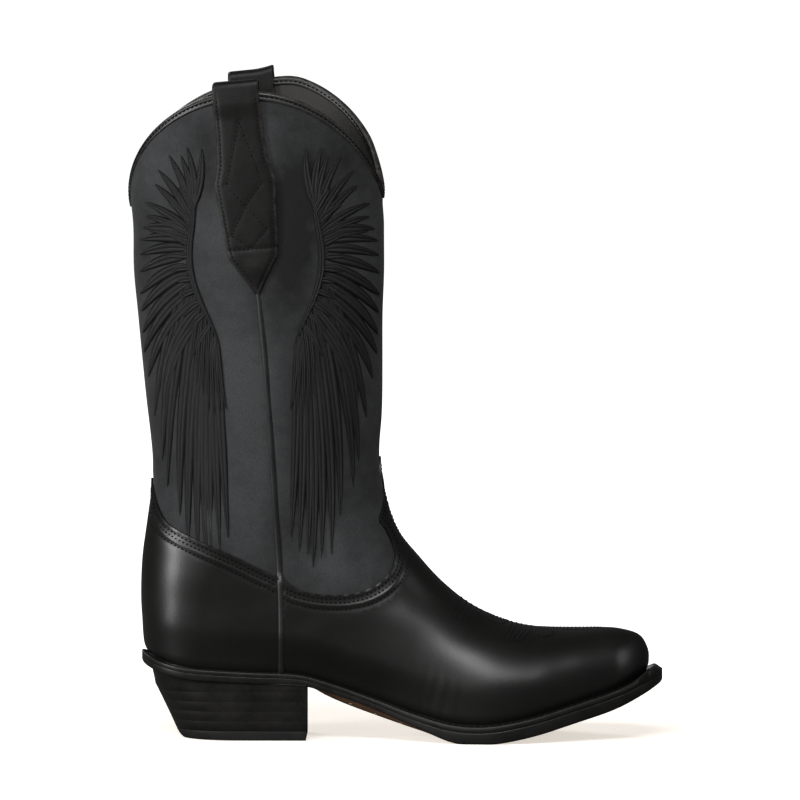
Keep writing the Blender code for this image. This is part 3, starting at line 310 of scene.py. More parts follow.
def cutPanel(free, along, pitch, edgeRows=()):
    # triangles of a piece of skin on both sides, joined down its profile
    outline = np.vstack([free, along[:, :2]])
    closed = np.vstack([free[-1], along[:, :2], free[0]])
    normal = moved(closed, 1.0)[1:-1] - along[:, :2]
    middle = len(along) // 2
    if not inside(outline, (along[middle, :2] + 0.002 * normal[middle])[None])[0]:
        normal = -normal
    depths = np.interp(np.linspace(0, 1, len(along) + 2), np.linspace(0, 1, len(along)), along[:, 2])
    full = np.column_stack([closed, depths])
    freeFlat = np.column_stack([free, np.zeros(len(free))])
    sets = []
    dense = resample(free, 0.0014)
    for offset in edgeRows:
        for sign in (-1, 1):
            row = moved(dense, sign * offset)
            row = row[inside(outline, row)]
            if len(row):
                sets.append(row[nearest(freeFlat, row[:, 0], row[:, 1])[0] > 0.85 * offset])
    for share in rowShares:
        row = along[:, :2] + normal * along[:, 2:3] * share
        row = row[inside(outline, row)]
        if len(row):
            sets.append(row[nearest(freeFlat, row[:, 0], row[:, 1])[0] > 0.0004])
    low, high = outline.min(0), outline.max(0)
    xs, zs = np.meshgrid(np.arange(low[0], high[0], pitch), np.arange(low[1], high[1], pitch * 0.87))
    xs = xs + pitch / 2 * (np.arange(len(xs)) % 2)[:, None]
    grid = np.stack([xs.ravel(), zs.ravel()], 1)
    grid = grid[inside(outline, grid)]
    away, depth = nearest(full, grid[:, 0], grid[:, 1])
    reach = max(edgeRows) if edgeRows else 0
    edgeAway = nearest(freeFlat, grid[:, 0], grid[:, 1])[0]
    sets.append(grid[(away > depth * rowShares[-1] + 0.5 * pitch) & (edgeAway > reach + 0.5 * pitch)])
    points = np.vstack(sets)
    # no two points nearer than a share of the pitch, measured on the skin
    near = 0.42 * min(pitch, 0.0014) if edgeRows else 0.42 * pitch
    cells, kept = {}, []
    for k, p in enumerate(np.vstack([outerPlace(outline), outerPlace(points)])):
        key = tuple(np.floor(p / near).astype(int))
        around = [(key[0] + i, key[1] + j, key[2] + m) for i, j, m in neighbours]
        if k >= len(outline) and any(
                ((q - p) ** 2).sum() < near * near for c in around for q in cells.get(c, ())):
            continue
        cells.setdefault(key, []).append(p)
        if k >= len(outline):
            kept.append(k - len(outline))
    corners = [Vector(q) for q in np.vstack([outline, points[kept]])]
    border = [(k, (k + 1) % len(outline)) for k in range(len(outline))]
    found, _, faces, *_ = delaunay_2d_cdt(corners, border, [], 1, 1e-8)
    flat = np.array([tuple(q) for q in found])
    onProfile = nearest(full, flat[:, 0], flat[:, 1])[0] < 1e-6
    count = len(flat)
    index = np.arange(count)
    mirrored = np.where(onProfile, index, count + index)
    verts, normals = [], []
    for side in (outerSide, innerSide):
        y = np.where(onProfile, 0, side * halfWidth(flat[:, 0], flat[:, 1], side))
        verts.append(np.column_stack([flat[:, 0], y, flat[:, 1]]))
        normals.append(skinNormals(flat[:, 0], flat[:, 1], side))
    faces = np.array([f for f in faces if not onProfile[list(f)].all()])
    triangles = np.vstack([faces, mirrored[faces[:, ::-1]]])
    verts, normals = np.vstack(verts), np.vstack(normals)
    used = np.unique(triangles)
    renumber = np.zeros(len(verts), int)
    renumber[used] = np.arange(len(used))
    rim = np.vstack([onSkin(dense[:, 0], dense[:, 1], s)[0] for s in (outerSide, innerSide)])
    verts, normals, triangles = verts[used], normals[used], renumber[triangles]
    return {"verts": verts, "normals": normals, "triangles": triangles, "edge": distanceTo(rim, verts)}


# pieces, finishes and how they are put on the boot
def twisted(points):
    # the leg's turn about its upright axis, more the higher up, and its taller inner side
    x, y, z = np.asarray(points, float).T
    turn = math.radians(skin["twist"]) * ease(z, skin["twistFrom"], skin["twistFull"])
    rise = skin["innerRise"] * ease(x, *skin["riseBehind"]) * (1 - ease(x, *skin["riseBefore"]))
    tall = z + rise * ease(y, *skin["riseAcross"]) * ease(z, *skin["riseUp"])
    x = x - skin["twistAxis"]
    return np.stack([skin["twistAxis"] + x * np.cos(turn) + y * np.sin(turn),
                     y * np.cos(turn) - x * np.sin(turn), tall], 1)


def newPiece(name, verts, faces, finish, replaces=(), attributes=None, uv=None, sharp=None):
    mesh = bpy.data.meshes.new(name)
    mesh.from_pydata([tuple(v) for v in twisted(verts)], [], [tuple(int(i) for i in f) for f in faces])
    for key, values in (attributes or {}).items():
        layer = mesh.attributes.new(key, "FLOAT", "POINT")
        layer.data.foreach_set("value", np.asarray(values, np.float32))
    if uv is not None:
        layer = mesh.uv_layers.new(name="map")
        corners = np.empty(len(mesh.loops), int)
        mesh.loops.foreach_get("vertex_index", corners)
        layer.data.foreach_set("uv", np.asarray(uv, np.float32)[corners].ravel())
    mesh.validate()
    piece = bpy.data.objects.new(name, mesh)
    bpy.context.scene.collection.objects.link(piece)
    mesh.shade_smooth()
    if sharp:
        mesh.set_sharp_from_angle(angle=math.radians(sharp))
    for material in finish if isinstance(finish, list) else [finish]:
        mesh.materials.append(material)
    if replaces:
        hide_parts(*replaces)
    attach(piece, "root")
    return piece


def tidyNormals(piece):
    # merge doubles and point the faces outwards
    bm = bmesh.new()
    bm.from_mesh(piece.data)
    bmesh.ops.remove_doubles(bm, verts=bm.verts, dist=2e-6)
    bmesh.ops.dissolve_degenerate(bm, edges=bm.edges, dist=1e-6)
    bmesh.ops.recalc_face_normals(bm, faces=bm.faces)
    if bm.calc_volume(signed=True) < 0:
        bmesh.ops.reverse_faces(bm, faces=bm.faces)
    bm.to_mesh(piece.data)
    bm.free()
    return piece


def shellPiece(name, panel, start, thick, finish, replaces=(), relief=None):
    # a leather piece that lies `start` inside the skin; relief moves its face
    verts, normals, triangles, edge = (panel[k] for k in ("verts", "normals", "triangles", "edge"))
    rise = np.zeros(len(verts)) if relief is None else relief(verts, edge)
    count = len(verts)
    everything = np.vstack([verts + normals * (rise - start)[:, None], verts - normals * (start + thick)])
    faces = [tuple(t) for t in triangles] + [(t[2] + count, t[1] + count, t[0] + count) for t in triangles]
    sides = {}
    for a, b, c in triangles:
        for pair in ((a, b), (b, c), (c, a)):
            if pair[::-1] in sides:
                del sides[pair[::-1]]
            else:
                sides[pair] = True
    faces += [(b, a, a + count, b + count) for a, b in sides]
    marks = {"edge": np.concatenate([np.clip(1 - edge / 0.004, 0, 1), np.zeros(count)])}
    return newPiece(name, everything, faces, finish, replaces, attributes=marks, sharp=55)


def sweepRings(rings, closedPath=False, caps=True):
    # faces between closed rows of points; rings is (rows, points, 3)
    rows, count = rings.shape[:2]
    faces = []
    for i in range(rows if closedPath else rows - 1):
        j = (i + 1) % rows
        for k in range(count):
            m = (k + 1) % count
            faces.append((i * count + k, j * count + k, j * count + m, i * count + m))
    if caps and not closedPath:
        faces.append(tuple(range(count)))
        faces.append(tuple(range((rows - 1) * count, rows * count))[::-1])
    return rings.reshape(-1, 3), faces


# looks of the leathers: colours, size of the clouds and of the grain per metre, and how worn places look
finishes = {
    "shaftNubuck": {
        "dark": (0.0074, 0.0076, 0.0082), "light": (0.0415, 0.0428, 0.0442), "cloud": 19.0, "nap": 1500.0,
        "roughness": (0.78, 0.92), "bump": 0.35},
    "calf": {
        "dark": (0.0020, 0.0019, 0.0018), "light": (0.0065, 0.0060, 0.0055), "cloud": 30.0, "grain": 900.0,
        "roughness": (0.33, 0.40), "bump": 0.07, "worn": (0.045, 0.041, 0.036)},
    "strapLeather": {
        "dark": (0.0020, 0.0019, 0.0019), "light": (0.0085, 0.0080, 0.0075), "cloud": 45.0, "grain": 800.0,
        "roughness": (0.40, 0.55), "bump": 0.16, "worn": (0.075, 0.070, 0.064)},
    "bindingLeather": {
        "dark": (0.0035, 0.0035, 0.0035), "light": (0.0120, 0.0115, 0.0110), "cloud": 60.0, "grain": 800.0,
        "roughness": (0.36, 0.50), "bump": 0.14, "worn": (0.075, 0.068, 0.060)},
    "liningHide": {
        "dark": (0.012, 0.011, 0.011), "light": (0.035, 0.033, 0.031), "cloud": 28.0, "grain": 600.0,
        "roughness": (0.60, 0.75), "bump": 0.20, "worn": (0.050, 0.047, 0.043)},
    "paintedEdge": {
        "dark": (0.0040, 0.0037, 0.0036), "light": (0.0125, 0.0118, 0.0112), "cloud": 70.0, "grain": 500.0,
        "roughness": (0.34, 0.50), "bump": 0.10, "worn": (0.026, 0.024, 0.022)},
    "soleHide": {
        "dark": (0.130, 0.060, 0.030), "light": (0.300, 0.155, 0.085), "cloud": 35.0, "grain": 700.0,
        "roughness": (0.50, 0.68), "bump": 0.20, "worn": (0.09, 0.045, 0.026)},
    "capRubber": {
        "dark": (0.0060, 0.0058, 0.0056), "light": (0.0160, 0.0155, 0.0150), "cloud": 80.0, "grain": 1300.0,
        "roughness": (0.62, 0.78), "bump": 0.25, "worn": (0.030, 0.029, 0.028)},
    "pegWood": {
        "dark": (0.30, 0.18, 0.09), "light": (0.50, 0.34, 0.19), "cloud": 300.0, "grain": 1500.0,
        "roughness": (0.55, 0.70), "bump": 0.15, "worn": (0.2, 0.12, 0.07)},
}


def tree(material):
    material.use_nodes = True
    return material.node_tree, material.node_tree.nodes["Principled BSDF"]


def addNode(nodes, kind, place, fixed=None, **values):
    # a node with its settings and named inputs; fixed gives inputs by their number
    node = nodes.new(kind)
    node.location = place
    for key, value in values.items():
        if hasattr(node, key):
            setattr(node, key, value)
        else:
            node.inputs[key].default_value = value
    for index, value in (fixed or {}).items():
        node.inputs[index].default_value = value
    return node


def wire(links, *pairs):
    for source, target in pairs:
        links.new(source, target)


def newGroup(name, inputs, output):
    # a shader group with a Vector input, number inputs with their defaults, and one number output
    group = bpy.data.node_groups.new(name, "ShaderNodeTree")
    group.interface.new_socket("Vector", in_out="INPUT", socket_type="NodeSocketVector")
    for label, value in inputs.items():
        socket = group.interface.new_socket(label, in_out="INPUT", socket_type="NodeSocketFloat")
        socket.default_value = value
    group.interface.new_socket(output, in_out="OUTPUT", socket_type="NodeSocketFloat")
    entry = addNode(group.nodes, "NodeGroupInput", (-700, 0)).outputs
    out = addNode(group.nodes, "NodeGroupOutput", (500, 0)).inputs
    return group, entry, out


def makeCloudGroup():
    # slow light and dark patches, as hand-rubbed leather has
    group, entry, out = newGroup("rubbedClouds", {"Scale": 20.0, "Contrast": 1.0}, "Mask")
    nodes = group.nodes
    broad = addNode(nodes, "ShaderNodeTexNoise", (-450, 120), Detail=3.0, Roughness=0.45)
    fine = addNode(nodes, "ShaderNodeTexNoise", (-450, -160), Detail=5.0, Roughness=0.62)
    bigger = addNode(nodes, "ShaderNodeMath", (-620, -200), {1: 6.5}, operation="MULTIPLY")
    mix = addNode(nodes, "ShaderNodeMix", (-200, 0), {0: 0.34}, data_type="FLOAT")
    shift = addNode(nodes, "ShaderNodeMath", (-20, 0), {1: 0.5}, operation="SUBTRACT")
    gain = addNode(nodes, "ShaderNodeMath", (130, 0), operation="MULTIPLY")
    back = addNode(nodes, "ShaderNodeMath", (290, 0), {1: 0.5}, operation="ADD", use_clamp=True)
    wire(group.links,
         (entry["Vector"], broad.inputs["Vector"]), (entry["Vector"], fine.inputs["Vector"]),
         (entry["Scale"], broad.inputs["Scale"]), (entry["Scale"], bigger.inputs[0]),
         (bigger.outputs[0], fine.inputs["Scale"]), (broad.outputs[0], mix.inputs[2]),
         (fine.outputs[0], mix.inputs[3]), (mix.outputs[0], shift.inputs[0]),
         (shift.outputs[0], gain.inputs[0]), (entry["Contrast"], gain.inputs[1]),
         (gain.outputs[0], back.inputs[0]), (back.outputs[0], out["Mask"]))
    return group


def makeGrainGroup():
    # small pebbles of a hide with finer pores between them, as a height
    group, entry, out = newGroup("hideGrain", {"Scale": 800.0, "Creases": 0.5}, "Height")
    nodes = group.nodes
    pebbles = addNode(nodes, "ShaderNodeTexVoronoi", (-400, 160), feature="SMOOTH_F1", Smoothness=0.6)
    pores = addNode(nodes, "ShaderNodeTexNoise", (-400, -40), Detail=3.0, Roughness=0.6)
    less = addNode(nodes, "ShaderNodeMath", (-560, -260), {1: 0.10}, operation="MULTIPLY")
    folds = addNode(nodes, "ShaderNodeTexNoise", (-400, -260), Detail=6.0, Roughness=0.62, Distortion=0.5)
    mix = addNode(nodes, "ShaderNodeMix", (-150, 80), {0: 0.45}, data_type="FLOAT")
    total = addNode(nodes, "ShaderNodeMath", (130, 0), operation="MULTIPLY_ADD")
    wire(group.links,
         (entry["Vector"], pebbles.inputs["Vector"]), (entry["Vector"], pores.inputs["Vector"]),
         (entry["Vector"], folds.inputs["Vector"]), (entry["Scale"], pebbles.inputs["Scale"]),
         (entry["Scale"], pores.inputs["Scale"]), (entry["Scale"], less.inputs[0]),
         (less.outputs[0], folds.inputs["Scale"]), (pebbles.outputs["Distance"], mix.inputs[2]),
         (pores.outputs[0], mix.inputs[3]), (folds.outputs[0], total.inputs[0]),
         (entry["Creases"], total.inputs[1]), (mix.outputs[0], total.inputs[2]),
         (total.outputs[0], out["Height"]))
    return group


def makeWearGroup():
    # a broken mask along edges, from the piece's own edge attribute
    group, entry, out = newGroup("edgeWear", {"Edge": 0.0, "Amount": 0.6}, "Mask")
    nodes = group.nodes
    noise = addNode(nodes, "ShaderNodeTexNoise", (-450, -100), Scale=260.0, Detail=4.0, Roughness=0.6)
    patches = addNode(nodes, "ShaderNodeMapRange", (-250, -100), {1: 0.35, 2: 0.65})
    steep = addNode(nodes, "ShaderNodeMath", (-250, 150), {1: 2.5}, operation="POWER", use_clamp=True)
    both = addNode(nodes, "ShaderNodeMath", (0, 50), operation="MULTIPLY")
    total = addNode(nodes, "ShaderNodeMath", (200, 50), operation="MULTIPLY", use_clamp=True)
    wire(group.links,
         (entry["Vector"], noise.inputs["Vector"]), (noise.outputs[0], patches.inputs[0]),
         (entry["Edge"], steep.inputs[0]), (steep.outputs[0], both.inputs[0]),
         (patches.outputs[0], both.inputs[1]), (both.outputs[0], total.inputs[0]),
         (entry["Amount"], total.inputs[1]), (total.outputs[0], out["Mask"]))
    return group


cloudGroup, grainGroup, wearGroup = makeCloudGroup(), makeGrainGroup(), makeWearGroup()


def spread(nodes, links, source, low, high, place):
    node = addNode(nodes, "ShaderNodeMapRange", place, {3: low, 4: high})
    links.new(source, node.inputs[0])
    return node.outputs[0]


def mixColours(nodes, links, factor, first, second, place):
    node = addNode(nodes, "ShaderNodeMix", place, data_type="RGBA")
    links.new(factor, node.inputs[0])
    for socket, value in ((node.inputs[6], first), (node.inputs[7], second)):
        if isinstance(value, tuple):
            socket.default_value = (*value, 1)
        else:
            links.new(value, socket)
    return node.outputs[2]


def hideFinish(name, key, wear=0.6, creases=0.5, specular=0.5, contrast=2.2):
    # smooth finished leather: clouded colour, grain, and worn edges
    look = finishes[key]
    material = bpy.data.materials.new(name)
    net, shader = tree(material)
    nodes, links = net.nodes, net.links
    where = addNode(nodes, "ShaderNodeTexCoord", (-1300, 0)).outputs["Object"]
    clouds = addNode(nodes, "ShaderNodeGroup", (-1000, 200), node_tree=cloudGroup,
                     Scale=look["cloud"], Contrast=contrast)
    grain = addNode(nodes, "ShaderNodeGroup", (-1000, -100), node_tree=grainGroup,
                    Scale=look["grain"], Creases=creases)
    worn = addNode(nodes, "ShaderNodeGroup", (-1000, -350), node_tree=wearGroup, Amount=wear)
    edge = addNode(nodes, "ShaderNodeAttribute", (-1300, -350), attribute_name="edge")
    colour = mixColours(nodes, links, clouds.outputs[0], look["dark"], look["light"], (-700, 200))
    colour = mixColours(nodes, links, worn.outputs[0], colour, look["worn"], (-450, 200))
    bump = addNode(nodes, "ShaderNodeBump", (-450, -200), Strength=look["bump"], Distance=0.0004)
    gloss = spread(nodes, links, clouds.outputs[0], *look["roughness"], (-700, -50))
    wire(links, *((where, node.inputs["Vector"]) for node in (clouds, grain, worn)),
         (edge.outputs["Fac"], worn.inputs["Edge"]), (colour, shader.inputs["Base Color"]),
         (gloss, shader.inputs["Roughness"]), (grain.outputs[0], bump.inputs["Height"]),
         (bump.outputs[0], shader.inputs["Normal"]))
    shader.inputs["Specular IOR Level"].default_value = specular
    return material


def nubuckFinish(name, lightShadeZones):
    # brushed leather; the zones paint patches on the shaft lighter (painted highlights) or darker (painted
    # shade), where light and shade fall on the leg
    look = finishes["shaftNubuck"]
    material = bpy.data.materials.new(name)
    net, shader = tree(material)
    nodes, links = net.nodes, net.links
    where = addNode(nodes, "ShaderNodeTexCoord", (-1700, 0)).outputs["Object"]
    clouds = addNode(nodes, "ShaderNodeGroup", (-1400, 300), node_tree=cloudGroup,
                     Scale=look["cloud"], Contrast=2.4)
    links.new(where, clouds.inputs["Vector"])
    mask = clouds.outputs[0]
    # each zone adds a painted highlight (+) or painted shade (-) to the cloud mask
    for k, (centre, size, amount) in enumerate(lightShadeZones):
        low = -100 - 160 * k
        away = addNode(nodes, "ShaderNodeVectorMath", (-1400, low), {1: centre}, operation="SUBTRACT")
        scaled = addNode(nodes, "ShaderNodeVectorMath", (-1230, low), {1: size}, operation="DIVIDE")
        length = addNode(nodes, "ShaderNodeVectorMath", (-1060, low), operation="LENGTH")
        fade = addNode(nodes, "ShaderNodeMapRange", (-890, low), {3: amount, 4: 0.0},
                       interpolation_type="SMOOTHSTEP")
        add = addNode(nodes, "ShaderNodeMath", (-700, 250 - 100 * k), operation="ADD")
        wire(links, (where, away.inputs[0]), (away.outputs[0], scaled.inputs[0]),
             (scaled.outputs[0], length.inputs[0]), (length.outputs["Value"], fade.inputs[0]),
             (fade.outputs[0], add.inputs[0]), (mask, add.inputs[1]))
        mask = add.outputs[0]
    kept = addNode(nodes, "ShaderNodeClamp", (-520, 200))
    links.new(mask, kept.inputs[0])
    colour = mixColours(nodes, links, kept.outputs[0], look["dark"], look["light"], (-350, 250))
    speckle = addNode(nodes, "ShaderNodeTexNoise", (-900, 600), Scale=look["nap"], Detail=3.0, Roughness=0.7)
    shade = addNode(nodes, "ShaderNodeMapRange", (-700, 600), {1: 0.30, 2: 0.70, 3: 0.72, 4: 1.28})
    scale = addNode(nodes, "ShaderNodeVectorMath", (-150, 300), operation="SCALE")
    gloss = spread(nodes, links, clouds.outputs[0], *look["roughness"], (-350, 0))
    bump = addNode(nodes, "ShaderNodeBump", (-350, -300), Strength=look["bump"], Distance=0.0003)
    wire(links, (where, speckle.inputs["Vector"]), (speckle.outputs[0], shade.inputs[0]),
         (colour, scale.inputs[0]), (shade.outputs[0], scale.inputs["Scale"]),
         (scale.outputs[0], shader.inputs["Base Color"]), (gloss, shader.inputs["Roughness"]),
         (speckle.outputs[0], bump.inputs["Height"]), (bump.outputs[0], shader.inputs["Normal"]))
    for socket, value in (("Specular IOR Level", 0.22), ("Sheen Weight", 0.06), ("Sheen Roughness", 0.45)):
        shader.inputs[socket].default_value = value
    return material


def threadFinish(name, dark, light, pitch, roughness, specular):
    # twisted or laid thread: bands along the piece's own map; the colour is darker at both sides as painted
    # shade, and lighter down the middle and on the bands as painted sheen
    material = bpy.data.materials.new(name)
    net, shader = tree(material)
    nodes, links = net.nodes, net.links
    uv = addNode(nodes, "ShaderNodeUVMap", (-1300, 0), uv_map="map").outputs[0]
    bands = addNode(nodes, "ShaderNodeTexWave", (-1000, 100), {"Detail Scale": 2.5}, wave_type="BANDS",
                    bands_direction="X", Scale=pitch, Distortion=1.6, Detail=2.0)
    split = addNode(nodes, "ShaderNodeSeparateXYZ", (-1000, -200))
    centre = addNode(nodes, "ShaderNodeMath", (-820, -200), {1: 0.5}, operation="PINGPONG")
    # painted shade: the colour darkens towards both sides of the strip
    sides = addNode(nodes, "ShaderNodeMapRange", (-640, -200), {1: 0.02, 2: 0.34},
                    interpolation_type="SMOOTHSTEP")
    both = addNode(nodes, "ShaderNodeMath", (-460, 0), operation="MULTIPLY")
    lift = spread(nodes, links, bands.outputs["Fac"], 0.35, 1.0, (-640, 100))
    colour = mixColours(nodes, links, both.outputs[0], dark, light, (-250, 150))
    gloss = spread(nodes, links, both.outputs[0], roughness[1], roughness[0], (-250, -80))
    bump = addNode(nodes, "ShaderNodeBump", (-250, -300), Strength=0.35, Distance=0.0002)
    wire(links, (uv, bands.inputs["Vector"]), (uv, split.inputs[0]), (split.outputs["Y"], centre.inputs[0]),
         (centre.outputs[0], sides.inputs[0]), (lift, both.inputs[0]), (sides.outputs[0], both.inputs[1]),
         (colour, shader.inputs["Base Color"]), (gloss, shader.inputs["Roughness"]),
         (bands.outputs["Fac"], bump.inputs["Height"]), (bump.outputs[0], shader.inputs["Normal"]))
    shader.inputs["Specular IOR Level"].default_value = specular
    return material


calfBlack = hideFinish("calfBlack", "calf", wear=0.0, creases=0.35, specular=0.42, contrast=1.2)
strapBlack = hideFinish("strapBlack", "strapLeather", wear=0.8, creases=0.6, specular=0.20)
bindingBlack = hideFinish("bindingBlack", "bindingLeather", wear=0.9, creases=0.8)
liningBlack = hideFinish("liningBlack", "liningHide", wear=0.5, creases=1.0, specular=0.3)
edgeBlack = hideFinish("edgeBlack", "paintedEdge", wear=0.5, creases=0.5, specular=0.28)
soleBrown = hideFinish("soleBrown", "soleHide", wear=0.6, creases=1.2, specular=0.35)
rubberBlack = hideFinish("rubberBlack", "capRubber", wear=0.4, specular=0.3)
# painted light and shade on the shaft: lighter zones are painted highlights, darker zones are painted shade
shaftLightShadeZones = [  # place, reach in x, y, z, lighter (+) or darker (-)
    ((-0.092, 0.0, 0.235), (0.030, 0.2, 0.080), 0.40), ((-0.080, 0.0, 0.170), (0.026, 0.2, 0.090), 0.30),
    ((-0.128, 0.0, 0.325), (0.030, 0.2, 0.040), 0.35), ((-0.056, 0.0, 0.292), (0.026, 0.2, 0.060), -1.0),
    ((-0.102, 0.0, 0.318), (0.016, 0.2, 0.040), -0.45), ((-0.030, 0.0, 0.325), (0.045, 0.2, 0.040), -0.30),
    ((-0.052, 0.0, 0.190), (0.018, 0.2, 0.110), -0.25), ((-0.034, 0.0, 0.105), (0.030, 0.2, 0.035), 0.30),
    ((-0.030, 0.0, 0.150), (0.022, 0.2, 0.030), 0.15), ((-0.115, 0.0, 0.150), (0.030, 0.2, 0.060), -0.12)]
nubuckGrey = nubuckFinish("nubuckGrey", shaftLightShadeZones)
# the light colours are painted sheen on near-black thread
threadLooks = {  # dark, light, bands along the thread, roughness, specular
    "satinThread": ((0.0006, 0.0006, 0.0007), (0.0190, 0.0189, 0.0194), 9.0, (0.42, 0.60), 0.22),
    "toeThread": ((0.0008, 0.0008, 0.0008), (0.0040, 0.0038, 0.0036), 6.0, (0.60, 0.75), 0.2),
    "sewingThread": ((0.0012, 0.0012, 0.0012), (0.0045, 0.0043, 0.0042), 6.0, (0.70, 0.85), 0.12)}
satinThread, toeThread, sewingThread = (threadFinish(name, *look) for name, look in threadLooks.items())
print("finishes made")


# vamp and heel foxing
foot = {"leather": 0.0014, "seamGap": 0.0013, "pitch": 0.0021, "stitchRows": (0.0023, 0.0044, 0.0080),
        "edgeRows": (0.0003, 0.0008, 0.0015, 0.0023, 0.0033, 0.0044, 0.0056, 0.0068, 0.0080, 0.0094),
        "stitchSink": 0.00028, "padding": 0.00030, "edgePinch": 0.00022, "weltTuck": 0.0016,
        "unevenness": 0.00022,
        "flexCreases": ((0.018, 0.00014), (0.0235, 0.00020), (0.0300, 0.00016), (0.037, 0.00010))}


def footPanel(front):
    sign, profile = (1, frontLine) if front else (-1, backLine)
    end = skin["toeTip"] if front else skin["heelTip"]
    start = float(seamX(0.040)) + sign * foot["seamGap"]
    share = np.linspace(0, 1, 200)
    x = start + (end - start) * (0.4 * share + 0.6 * np.sin(share * math.pi / 2))
    bottom = resample(np.stack([x, featherZ(x) - 0.0006], 1), foot["pitch"])
    top = resample(footTop(front, 0.0), 0.0018)
    top[:, 0] += sign * foot["seamGap"] * (1 - ease(np.abs(top[:, 0] - top[0, 0]), 0, 0.012))
    side = between(bottom[0, 1], top[0, 1], sign, foot["seamGap"])
    free = np.vstack([bottom[::-1], side[1:-1], top])
    free[0, 0] = np.interp(free[0, 1], profile[:, 1], profile[:, 0])
    along = profileBetween(profile, free[0, 1], free[-1, 1], foot["pitch"])[::-1]
    return cutPanel(free, along, foot["pitch"], foot["edgeRows"])


def footRelief(front):
    line = resample(footTop(front, 0.0), 0.0008)
    top = np.vstack([onSkin(line[:, 0], line[:, 1], s)[0] for s in (outerSide, innerSide)])

    def relief(verts, edge):
        x, y, z = verts.T
        far = distanceTo(top, verts)
        rise = np.zeros(len(verts))
        for row in foot["stitchRows"]:
            rise -= foot["stitchSink"] * np.exp(-((far - row) / 0.0006) ** 2)
        rise += foot["padding"] * np.exp(-((far - 0.0062) / 0.0011) ** 2)
        rise -= foot["edgePinch"] * np.clip(1 - edge / 0.0012, 0, 1) ** 2
        rise -= foot["weltTuck"] * np.clip(1 - (z - featherZ(x)) / 0.0060, 0, 1) ** 2
        soft = np.sin(70 * x + 3 * np.sin(55 * z + y * 30)) * np.sin(85 * z + 2 * np.sin(60 * x) + 1.3)
        rise += foot["unevenness"] * soft * ease(z - featherZ(x), 0.008, 0.02) * ease(far, 0.006, 0.014)
        if front:  # flex creases over the ball
            fade = np.exp(-((z - 0.030) / 0.018) ** 2)
            for k, (where, deep) in enumerate(foot["flexCreases"]):
                crease = where + 0.10 * (z - 0.035) + 0.0012 * np.sin(180 * z + k)
                rise -= deep * fade * np.exp(-((x - crease) / 0.0016) ** 2)
        return rise

    return relief


for front, name, node in ((True, "vampLeather", "vamp"), (False, "foxingLeather", "heel_foxing")):
    shellPiece(name, footPanel(front), 0.0, foot["leather"], calfBlack,
               [node], footRelief(front))
print("vamp and foxing cut")


# shaft, with its lining
shaft = {"inset": 0.0016, "leather": 0.0012, "lining": 0.0009, "tuck": 0.0055, "rimInset": 0.0012,
         "pitch": 0.0030, "liningPitch": 0.0050, "edgeRows": (0.0004, 0.0012, 0.0026, 0.0046),
         "tongueFrom": 0.0960, "push": 0.0009, "unevenness": 0.00045, "pucker": 0.00050,
         "folds": ((0.020, 0.0006), (0.052, 0.0004)), "seamSink": 0.0006}


def shaftPanel(front, pitch, edgeRows):
    sign, profile = (1, frontLine) if front else (-1, backLine)
    bottom = resample(footTop(front, 0.0), 0.0022)
    if front:  # it runs on under the vamp and its tongue
        bottom = moved(bottom, -shaft["tuck"])[bottom[:, 1] < shaft["tongueFrom"]]
        low = bottom[-1, 1] + 0.0012
        bottom = np.vstack([bottom, [frontX(low), low]])
        bottom[:-1, 0] = np.minimum(bottom[:-1, 0], frontX(bottom[:-1, 1]) - 0.0004)
    else:
        drop = shaft["tuck"] * (1 - ease(bottom[:, 1], 0.118, 0.130))
        bottom = np.column_stack([bottom[:, 0], bottom[:, 1] - drop])
        bottom[:, 0] = np.maximum(bottom[:, 0], backX(bottom[:, 1]))
    bottom[:, 0] += sign * foot["seamGap"] * (1 - ease(np.abs(bottom[:, 0] - bottom[0, 0]), 0, 0.012))
    angles = np.linspace(seamAngle(), 0 if front else math.pi, 70)
    top = np.column_stack(rimPoint(angles, shaft["rimInset"]))
    top[:, 0] += sign * foot["seamGap"] * (1 - ease(np.abs(angles - angles[0]), 0, 0.2))
    side = between(bottom[0, 1], top[0, 1], sign, foot["seamGap"])
    free = np.vstack([bottom[::-1], side[1:-1], top])
    free[0, 0], free[-1, 0] = (np.interp(free[k, 1], profile[:, 1], profile[:, 0]) for k in (0, -1))
    along = profileBetween(profile, free[0, 1], free[-1, 1], pitch)[::-1]
    return cutPanel(free, along, pitch, edgeRows)


def frontPush(x, z):
    # the leg's front runs nearly level with the tongue's outer face
    return shaft["push"] * ease(x, -0.026, -0.009) * ease(z, 0.112, 0.128) * (1 - ease(z, 0.286, 0.301))


def shaftRelief(verts, edge):
    x, y, z = verts.T
    soft = np.sin(52 * x + 2.2 * np.sin(37 * z + 25 * y)) * np.sin(43 * z + 1.7 * np.sin(48 * x + 0.6))
    rise = shaft["unevenness"] * soft * ease(z, 0.10, 0.16) * (1 - ease(z, 0.285, 0.33))
    # the leather puckers where the vamp holds it
    line = np.interp(x, [-0.14, -0.1, -0.063, -0.03, 0.0], [0.13, 0.108, 0.091, 0.083, 0.095])
    near = np.exp(-((z - line - 0.016) / 0.012) ** 2)
    rise += shaft["pucker"] * near * np.sin(260 * x + 40 * z + 1.5 * y / 0.03)
    for where, deep in shaft["folds"]:
        fold = np.exp(-((z - line - where + 0.25 * (x + 0.05)) / 0.007) ** 2)
        rise -= deep * fold * ease(x, -0.075, -0.045)
    rise -= shaft["seamSink"] * np.exp(-((np.abs(x - seamX(z))) / 0.0032) ** 2)  # drawn in by the seam
    return rise + frontPush(x, z) - 0.0003 * np.clip(1 - edge / 0.0006, 0, 1) ** 2


